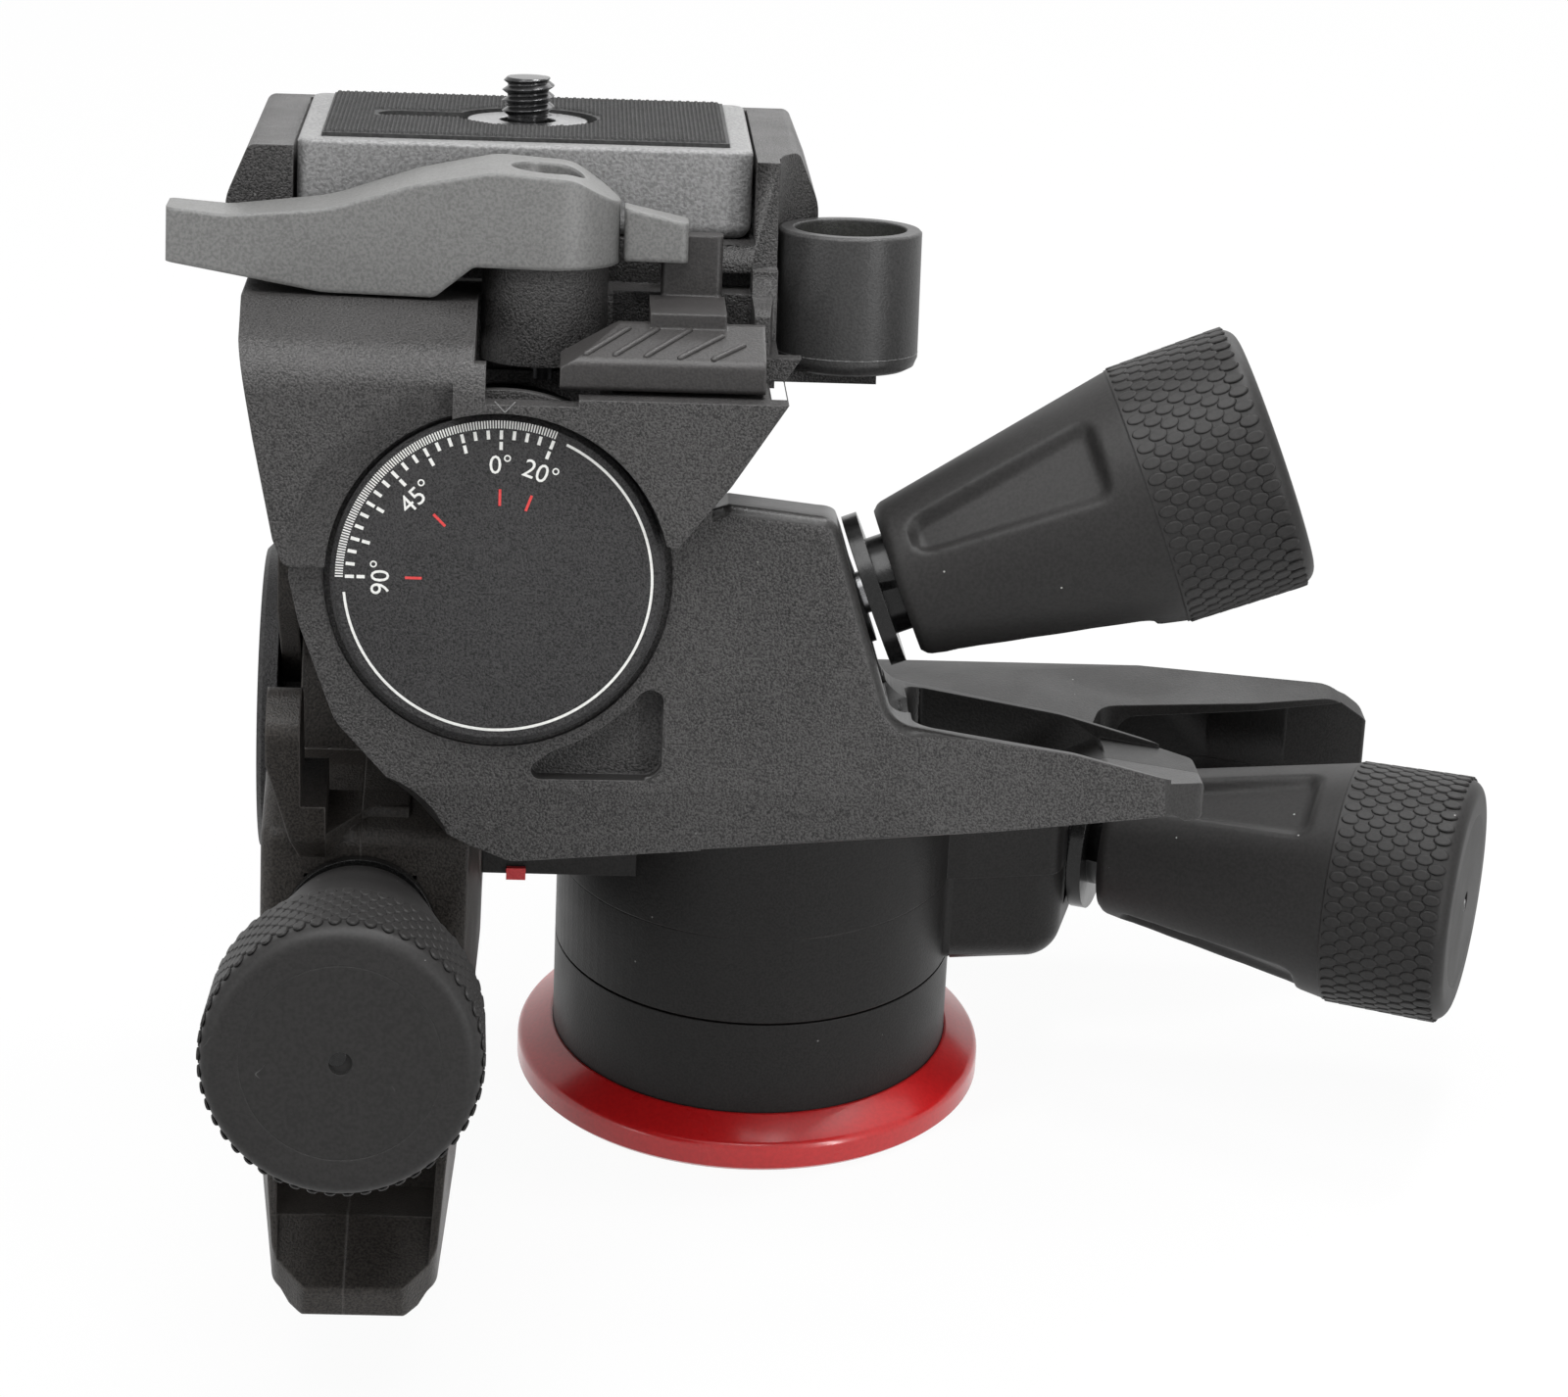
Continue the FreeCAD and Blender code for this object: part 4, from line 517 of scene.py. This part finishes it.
def grown(name, **numbers):
    """A geometry tree with named number inputs, and its two ends."""
    tree = bpy.data.node_groups.new(name, "GeometryNodeTree")
    tree.interface.new_socket("Geometry", in_out="INPUT", socket_type="NodeSocketGeometry")
    tree.interface.new_socket("Geometry", in_out="OUTPUT", socket_type="NodeSocketGeometry")
    for label, value in numbers.items():
        kind = "NodeSocketInt" if isinstance(value, int) else "NodeSocketFloat"
        tree.interface.new_socket(label, in_out="INPUT", socket_type=kind).default_value = value
    return tree, put(tree, "NodeGroupInput").outputs, put(tree, "NodeGroupOutput")


def last_steps(tree, end, instances, skin):
    """Realise what a tree repeats and give it its finish."""
    real = put(tree, "GeometryNodeRealizeInstances", {"Geometry": instances})
    coated = put(tree, "GeometryNodeSetMaterial", {"Geometry": real.outputs[0], "Material": skin})
    tree.links.new(coated.outputs[0], end.inputs["Geometry"])


def made_by(tree, name, place):
    """Run a tree on its own, and keep the mesh it makes in its place."""
    piece = linked(name, bpy.data.meshes.new(name))
    worker = piece.modifiers.new(tree.name, "NODES")
    worker.node_group = tree
    baked(piece)
    piece.data.transform(place)
    return piece


# the band's scales: rows of flat ovals, every other row half a step round, on the slight cone of the band
scales, given, end = grown("Scales", around=50, rows=8, radius=band_small + band_proud, widens=0.28,
                           low=band_start + 1.45, high=band_end - 0.45, long=1.22, wide=0.74, sunk=0.1,
                           proud=0.19)
number = put(scales, "GeometryNodeInputIndex").outputs[0]
count = reckon(scales, "MULTIPLY", given["around"], given["rows"])
spots = put(scales, "GeometryNodePoints", {"Count": count})
row = reckon(scales, "FLOOR", reckon(scales, "DIVIDE", number, given["around"]))
half_step = reckon(scales, "MULTIPLY", reckon(scales, "MODULO", row, 2.0), 0.5)
step = reckon(scales, "ADD", reckon(scales, "MODULO", number, given["around"]), half_step)
turn = reckon(scales, "MULTIPLY", reckon(scales, "DIVIDE", step, given["around"]), math.tau)
share = reckon(scales, "DIVIDE", row, reckon(scales, "SUBTRACT", given["rows"], 1.0))
band_length = reckon(scales, "SUBTRACT", given["high"], given["low"])
height = reckon(scales, "ADD", given["low"], reckon(scales, "MULTIPLY", band_length, share))
widening = reckon(scales, "MULTIPLY", share, given["widens"])
girth = reckon(scales, "ADD", given["radius"], reckon(scales, "SUBTRACT", widening, given["sunk"]))
east = reckon(scales, "MULTIPLY", girth, reckon(scales, "COSINE", turn))
north = reckon(scales, "MULTIPLY", girth, reckon(scales, "SINE", turn))
spot = put(scales, "ShaderNodeCombineXYZ", {0: east, 1: north, 2: height})
placed = put(scales, "GeometryNodeSetPosition", {"Geometry": spots.outputs[0], "Position": spot.outputs[0]})
plug = put(scales, "GeometryNodeMeshCone", {"Vertices": 18, "Radius Top": 0.84, "Radius Bottom": 1.0,
                                            "Depth": 1.0})
thick = reckon(scales, "ADD", given["sunk"], given["proud"])
sizes = put(scales, "ShaderNodeCombineXYZ", {0: given["long"], 1: given["wide"], 2: thick})
oval = put(scales, "GeometryNodeTransform", {"Geometry": plug.outputs[0], "Scale": sizes.outputs[0],
                                             "Rotation": (0, math.pi / 2, 0)})
facing = put(scales, "ShaderNodeCombineXYZ", {2: turn})
ovals = put(scales, "GeometryNodeInstanceOnPoints", {"Points": placed.outputs[0], "Instance": oval.outputs[0],
                                                     "Rotation": facing.outputs[0]})
last_steps(scales, end, ovals.outputs[0], soft)

# the gate mark is a small raised ring round a sunk dot, a little off the cap's middle
gate_profile = [(0.0, -0.3), (1.15, -0.3), (1.15, -0.08), (1.05, -0.02), (0.72, -0.02), (0.5, -0.12),
                (0.0, -0.14)]
gate_place = Matrix.Translation((0.8, 0.5, face_end))

for unit in units:
    at = worm_place(unit)
    settle(dressed(knob_cone(unit + "_grip"), at, soft), unit + "_knob_grip")
    band = made_by(scales, unit + "_scales", at)
    hard_edges(band.data, 30)
    ride_along(band, unit + "_knob_grip")
    cast(unit + "_knob_flange", core_skin)
    cast(unit + "_knob_core", core_skin)
    cast(unit + "_knob_cap", cap_skin)
    gate_mark = turned(unit + "_gate_mark", gate_profile, 36)
    ride_along(dressed(gate_mark, at @ gate_place, core_skin), unit + "_knob_cap")

# ------------------------------------------------------------------ lateral unit
# The side unit is cast as the pan unit is, and stands upright at the left with its lever to the front.
# A plain disc closes its outer face.
dial_skin = finish("Dial paint", (0.0, 0.0, 0.0), (0.042, 0.041, 0.042), rough=(0.40, 0.5), grain_mm=0.26,
                   depth_mm=0.04, edge_mm=0.2, edge_highlight=0.1, roundness=0.7, Specular_IOR_Level=0.25)
side_sand = finish("Side paint", (0.004, 0.0035, 0.003), (0.034, 0.030, 0.027), rough=(0.36, 0.5),
                   grain_mm=0.28, depth_mm=0.03, edge_mm=0.4, edge_highlight=0.5, specks=0.5, Specular_IOR_Level=0.25)
for node in ("lateral_housing_outer", "lateral_housing_inner"):
    cast(node, side_sand)
cast("lateral_dial", dial_skin)
cast("lateral_axle", steel)
cast("tilt_yoke", side_sand)

# ------------------------------------------------------------------ front unit
# The front unit's face is sandy paint, and the strip below its crease and the lever are satin.
# The dial on it carries the printed scale, and black screws close the shells of all three units.
sandy_black = finish("Sandy black paint", (0.0, 0.0, 0.0), (0.058, 0.056, 0.0555), rough=(0.34, 0.46),
                     grain_mm=0.25, depth_mm=0.06, edge_mm=0.3, edge_highlight=0.25, specks=0.3, Specular_IOR_Level=0.3)
smooth_black = finish("Smooth black paint", (0.014, 0.0136, 0.0134), (0.030, 0.029, 0.0285),
                      rough=(0.30, 0.42), depth_mm=0.012, edge_mm=0.35, edge_highlight=0.3, specks=0.4,
                      Specular_IOR_Level=0.3)
black_oxide = finish("Black oxide", (0.012, 0.012, 0.013), (0.03, 0.03, 0.032), rough=(0.3, 0.45),
                     grain_mm=0.15, depth_mm=0.004, edge_mm=0.12, edge_highlight=0.25, Metallic=0.8)
face_out = Vector(joint_of["front_tilt"]["axis"]).normalized()
cast("front_housing_front", sandy_black, side_skin=smooth_black, front=face_out)
cast("front_housing_rear", satin)
cast("front_axle", steel)
cast("front_dial", dial_skin)
print_white = finish("Printed white", (0.62, 0.62, 0.60), (0.72, 0.72, 0.70), rough=(0.5, 0.6),
                     depth_mm=0.001, edge_mm=0.02)
print_red = finish("Printed red", (0.5, 0.03, 0.03), (0.6, 0.05, 0.05), rough=(0.5, 0.6), depth_mm=0.001,
                   edge_mm=0.02)
ink = 0.03


def face_place(joint):
    """Millimetres on the face that a joint's axis stands on, with X to the right."""
    out, aside = Vector(joint_of[joint]["axis"]).normalized(), Vector((1, 0, 0))
    return axes_at(joint, aside, out.cross(aside), out)


def tube(shell, rings):
    """Add a closed skin over rings of points, with its two flat ends."""
    rows = wrap(shell, rings)
    shell.faces.new(rows[0][::-1])
    shell.faces.new(rows[-1])


def slab(shell, outline):
    """Add a thin closed slab over an outline on the dial's face."""
    tube(shell, [[(point.x, point.y, z) for point in outline] for z in (-ink, ink)])


def dash(shell, angle, near, far, width):
    """Add a thin radial bar on the dial, its angle counted from the top towards the left."""
    along = Vector((-math.sin(math.radians(angle)), math.cos(math.radians(angle)), 0))
    across = Vector((along.y, -along.x, 0)) * width / 2
    slab(shell, [along * near - across, along * near + across, along * far + across, along * far - across])


def printed(name, shell, skin, node):
    """Put finished print on the front unit's face."""
    ride_along(dressed(solid(name, shell), dial_place, skin), node)


dial_place = face_place("front_tilt")
scale_low, scale_high = -20, 90
stops = (scale_low, 0, 45, scale_high)
degree_ring, five_ring, main_ring, stop_ring = (17.5, 18.4), (16.25, 17.27), (15.03, 15.96), (8.6, 10.5)
fine_dash, bold_dash, stop_dash = 0.15, 0.38, 0.3
numeral_radius, numeral_size = 13.2, 3.0
shell = bmesh.new()
for angle in range(scale_low, scale_high + 1):
    dash(shell, angle, *degree_ring, fine_dash)
    if angle % 5 == 0:
        dash(shell, angle, *five_ring, bold_dash)
for angle in (scale_low, 0, 15, 30, 45, 60, 75, scale_high):
    dash(shell, angle, *main_ring, bold_dash)
# the line that closes the scale runs round the bottom of the dial
line_from, line_to, line_near, line_far, line_steps = -25, -264, 17.3, 17.6, 80
closing_line = []
for i in range(line_steps + 1):
    angle = math.radians(line_from + i * (line_to - line_from) / line_steps)
    closing_line.append([(-math.sin(angle) * radius, math.cos(angle) * radius, z)
                         for radius, z in ((line_near, -ink), (line_near, ink), (line_far, ink),
                                           (line_far, -ink))])
tube(shell, closing_line)
printed("dial_scale", shell, print_white, "front_dial")
shell = bmesh.new()
for angle in stops:
    dash(shell, angle, *stop_ring, stop_dash)
printed("dial_stops", shell, print_red, "front_dial")
for angle in stops:
    letters = bpy.data.curves.new("Numeral", "FONT")
    letters.body = str(abs(angle)) + "\u00b0"
    letters.size = numeral_size
    letters.align_x = "CENTER"
    letters.align_y = "CENTER"
    letters.extrude = ink
    letters.resolution_u = 3
    writer = linked("Numeral", letters)
    numeral = bpy.data.meshes.new_from_object(writer.evaluated_get(bpy.context.evaluated_depsgraph_get()))
    bpy.data.objects.remove(writer)
    shell = bmesh.new()
    shell.from_mesh(numeral)
    bmesh.ops.remove_doubles(shell, verts=shell.verts, dist=1e-5)
    numeral_place = (Matrix.Rotation(math.radians(angle), 4, "Z")
                     @ Matrix.Translation((0, numeral_radius, 0)))
    bmesh.ops.transform(shell, matrix=numeral_place, verts=shell.verts)
    printed("dial_numeral_" + str(abs(angle)), shell, print_white, "front_dial")
for unit in units:
    cast(unit + "_housing_screws", black_oxide)

# ------------------------------------------------------------------ camera bracket
# One casting holds the plate between two jaws and reaches down around the dial as a cheek.
# The pointer of the scale is a small open V, printed on the cheek over the dial.
cast("camera_bracket", sandy_black)
pointer_grey = finish("Pointer grey", (0.14, 0.14, 0.14), (0.2, 0.2, 0.2), rough=(0.5, 0.6), depth_mm=0.001,
                      edge_mm=0.02)
cheek_face = 2.3
pointer_tip, pointer_high, pointer_lean, pointer_stroke = Vector((0.35, 19.75, 0)), 21.0, 1.15, 0.14
shell = bmesh.new()
for lean in (-pointer_lean, pointer_lean):
    half = Vector((pointer_stroke / 2, 0, 0))
    high = Vector((pointer_tip.x + lean, pointer_high, 0))
    slab(shell, [pointer_tip - half, pointer_tip + half, high + half, high - half])
bmesh.ops.translate(shell, vec=(0, 0, cheek_face), verts=shell.verts)
printed("scale_pointer", shell, pointer_grey, "camera_bracket")

# ------------------------------------------------------------------ camera plate
# The quick-release plate is grey painted, with a studded rubber pad, and holds the camera's screw.
# The studs stand in rows around the washer and the slot, and the screw's thread is cut sharp.
plate_grey = finish("Plate grey", (0.12, 0.12, 0.12), (0.23, 0.23, 0.23), rough=(0.42, 0.55), grain_mm=0.4,
                    depth_mm=0.04, edge_mm=0.4, edge_highlight=0.25, specks=0.3)
pad_skin = finish("Pad rubber", (0.014, 0.014, 0.014), (0.036, 0.036, 0.036), rough=(0.55, 0.7), grain_mm=0.4,
                  depth_mm=0.01, edge_mm=0.1, edge_highlight=0.5, Specular_IOR_Level=0.3)
bright = finish("Bright washer", (0.28, 0.28, 0.285), (0.42, 0.42, 0.425), rough=(0.2, 0.3), depth_mm=0.001,
                Metallic=1.0)
screw_skin = finish("Bright black screw", (0.02, 0.02, 0.021), (0.035, 0.035, 0.036), rough=(0.12, 0.22),
                    grain_mm=0.2, depth_mm=0.002, edge_mm=0.1, edge_highlight=0.25, Metallic=0.6)
cast("camera_plate", plate_grey)
screw_place = face_place("plate_screw_turn")


def corners_in(place, piece):
    """A piece's corners in the millimetres of a place."""
    back_in = place.inverted()
    return [back_in @ corner.co for corner in piece.data.vertices]


# the pad's sheet is lowered by the height of its studs
pad = cast("plate_pad", pad_skin)
stud_high, stud_sunk, stud_foot, stud_tip, on_top = 0.32, 0.05, 0.49, 0.16, 0.05
corners = corners_in(screw_place, pad)
pad_top = max(corner.z for corner in corners)
for vertex, corner in zip(pad.data.vertices, corners):
    if corner.z > pad_top - on_top:
        vertex.co = screw_place @ Vector((corner.x, corner.y, corner.z - stud_high))
pad_rim, pitch = 0.6, 1.0
low_x, high_x = min(p.x for p in corners) + pad_rim, max(p.x for p in corners) - pad_rim
low_y, high_y = min(p.y for p in corners) + pad_rim, max(p.y for p in corners) - pad_rim
hole_free, slot_free_end, slot_free_half = 9.0, -18.6, 3.3
shell = bmesh.new()
row, y = 0, low_y
while y < high_y:
    x = low_x + (pitch / 2 if row % 2 else 0)
    while x < high_x:
        in_slot = slot_free_end < x < 0 and abs(y) < slot_free_half
        if math.hypot(x, y) > hole_free and not in_slot:
            tube(shell, [[(x + dx * pitch * half, y + dy * pitch * half, z)
                          for dx, dy in ((1, 0), (0, 1), (-1, 0), (0, -1))]
                         for half, z in ((stud_foot, pad_top - stud_high - stud_sunk), (stud_tip, pad_top))])
        x += pitch
    row, y = row + 1, y + pitch / 2
ride_along(dressed(solid("pad_studs", shell), screw_place, pad_skin), "plate_pad")
cast("screw_washer", bright)

# the screw's thread: one sharp crest winding round a thinner core
screw = cast("camera_screw", screw_skin)
crest, core, lead, chamfer, core_sunk = 3.175, 2.5, 1.27, 0.6, 0.1
flank, on_crest, below_thread = 2.6, 0.1, 0.4
corners = corners_in(screw_place, screw)
thread_top, thread_low = max(corner.z for corner in corners), pad_top + 0.02
for vertex, corner in zip(screw.data.vertices, corners):
    girth = math.hypot(corner.x, corner.y)
    if girth > crest - on_crest and corner.z > thread_low - below_thread:
        drawn_in = (core - core_sunk) / girth
        vertex.co = screw_place @ Vector((corner.x * drawn_in, corner.y * drawn_in,
                                          min(corner.z, thread_top - core_sunk)))
thread_around, thread_steps = 48, 72
rings = []
for row in range(thread_steps + 1):
    s = thread_low + (thread_top - thread_low) * row / thread_steps
    ring = []
    for i in range(thread_around):
        phase = (s / lead - i / thread_around) % 1
        girth = core + (crest - core) * max(0, 1 - abs(phase - 0.5) * flank) ** 0.9
        girth = min(girth, crest - chamfer + thread_top - s)
        turn = math.tau * i / thread_around
        ring.append((girth * math.cos(turn), girth * math.sin(turn), s))
    rings.append(ring)
shell = bmesh.new()
tube(shell, rings)
ride_along(dressed(solid("screw_thread", shell, crease=40), screw_place, screw_skin), "camera_screw")

# ------------------------------------------------------------------ clamp lever
# The clamp lever is cast and painted satin grey, and turns on a recessed bolt.
# The small catch beside it has the same paint and eased corners.
lever_grey = finish("Lever grey", (0.095, 0.095, 0.093), (0.155, 0.155, 0.152), rough=(0.38, 0.5),
                    grain_mm=0.35, depth_mm=0.012, edge_mm=0.8, edge_highlight=0.25, specks=0.2)
cast("clamp_lever", lever_grey)
cast("lever_bolt", black_oxide)
cast("lever_catch", lever_grey, crease=50, eased_mm=0.35)

# ------------------------------------------------------------------ safety lever
# The safety lever is moulded black nylon with eased corners.
# Five slanting ribs for the thumb lie on the slope of its bar.
rib_black = finish("Moulded black", (0.018, 0.017, 0.0168), (0.034, 0.032, 0.0315), rough=(0.34, 0.46),
                   depth_mm=0.012, edge_mm=0.45, edge_highlight=0.3, Specular_IOR_Level=0.35)
cast("safety_lever", rib_black, crease=50, eased_mm=0.55)
hub_place = face_place("clamp_swing")
slope = Vector((0, 8.5, 2.8)).normalized()
lift = Vector((0, -slope.z, slope.y))
bar_foot = Vector((0, -20.5, -8.0))
rib_half, rib_high, rib_sunk, rib_root = 0.42, 0.38, 0.02, 0.2
rib_bends = [math.pi * i / 8 for i in range(9)]
rib_lines = (((4.6, -19.6), (9.9, -12.9)), ((7.9, -19.6), (13.2, -12.9)), ((11.4, -19.7), (16.9, -12.9)),
             ((15.2, -19.9), (20.5, -14.2)), ((19.0, -20.0), (22.9, -16.2)))
rib_swell = ((0, 0.2), (0.03, 0.8), (0.08, 1), (0.92, 1), (0.97, 0.8), (1, 0.2))
for k, line in enumerate(rib_lines):
    near, far = [Vector((x, 0, 0)) + bar_foot + slope * ((y - bar_foot.y) / slope.y) for x, y in line]
    across = (far - near).normalized().cross(lift)
    rings = []
    for share, size in rib_swell:
        centre = near.lerp(far, share)
        ring = [centre + across * math.cos(bend) * rib_half * size
                + lift * (math.sin(bend) * rib_high * size - rib_sunk) for bend in rib_bends]
        rings.append(ring + [centre - lift * rib_root])
    shell = bmesh.new()
    tube(shell, rings)
    rib = solid("thumb_rib_" + str(k), shell, crease=50)
    ride_along(dressed(rib, hub_place, rib_black), "safety_lever")

# ------------------------------------------------------------------ level
# A bull's-eye level sits in a painted cup, which a pale seam goes round.
# The vial's liquid is yellow-green, with a flat bubble under its window and an inked ring on it.
cup_skin = finish("Cup paint", (0.022, 0.0218, 0.0218), (0.040, 0.0395, 0.0395), rough=(0.36, 0.46),
                  depth_mm=0.015, edge_mm=0.4, edge_highlight=0.3, Specular_IOR_Level=0.3)
seam_skin = finish("Cup seam", (0.03, 0.03, 0.03), (0.16, 0.16, 0.16), rough=(0.3, 0.4), depth_mm=0.03,
                   edge_mm=0.05)
liquid = finish("Level liquid", (0.34, 0.52, 0.04), (0.42, 0.60, 0.06), rough=(0.04, 0.06), depth_mm=0.0,
                edge_mm=0.1, Transmission_Weight=0.55, Coat_Weight=0.8)
air = finish("Air bubble", (0.75, 0.85, 0.45), (0.8, 0.9, 0.5), rough=(0.03, 0.05), depth_mm=0.0,
             edge_mm=0.1, Coat_Weight=1.0)
ring_ink = finish("Ring ink", (0.01, 0.01, 0.01), (0.02, 0.02, 0.02), rough=(0.3, 0.4), depth_mm=0.001,
                  edge_mm=0.05)
cast("level_cup", cup_skin)
seam_profile = [(8.2, -0.12), (8.48, -0.05), (8.48, 0.05), (8.2, 0.12)]
cup_seam = turned("level_cup_seam", seam_profile, 96, hole=True)
cup_middle, seam_height = (35.7, 10.5), -11.4
seam_place = hub_place @ Matrix.Translation((*cup_middle, seam_height))
ride_along(dressed(cup_seam, seam_place, seam_skin), "level_cup")
vial = cast("level_vial", liquid)
corners = corners_in(hub_place, vial)
window = [(max(side) + min(side)) / 2 for side in ([p.x for p in corners], [p.y for p in corners])]
window_place = hub_place @ Matrix.Translation((*window, max(p.z for p in corners)))
bubble_profile = [(0, -0.2), (1.3, -0.2), (1.7, -0.13), (1.5, -0.05), (0.9, -0.01), (0, 0)]
bubble = turned("level_bubble", bubble_profile, 32)
ride_along(dressed(bubble, window_place, air), "level_vial")
circle_profile = [(2.1, -0.12), (2.32, -0.12), (2.32, -0.005), (2.1, -0.005)]
circle = turned("level_ring", circle_profile, 48, hole=True)
ride_along(dressed(circle, window_place, ring_ink), "level_vial")
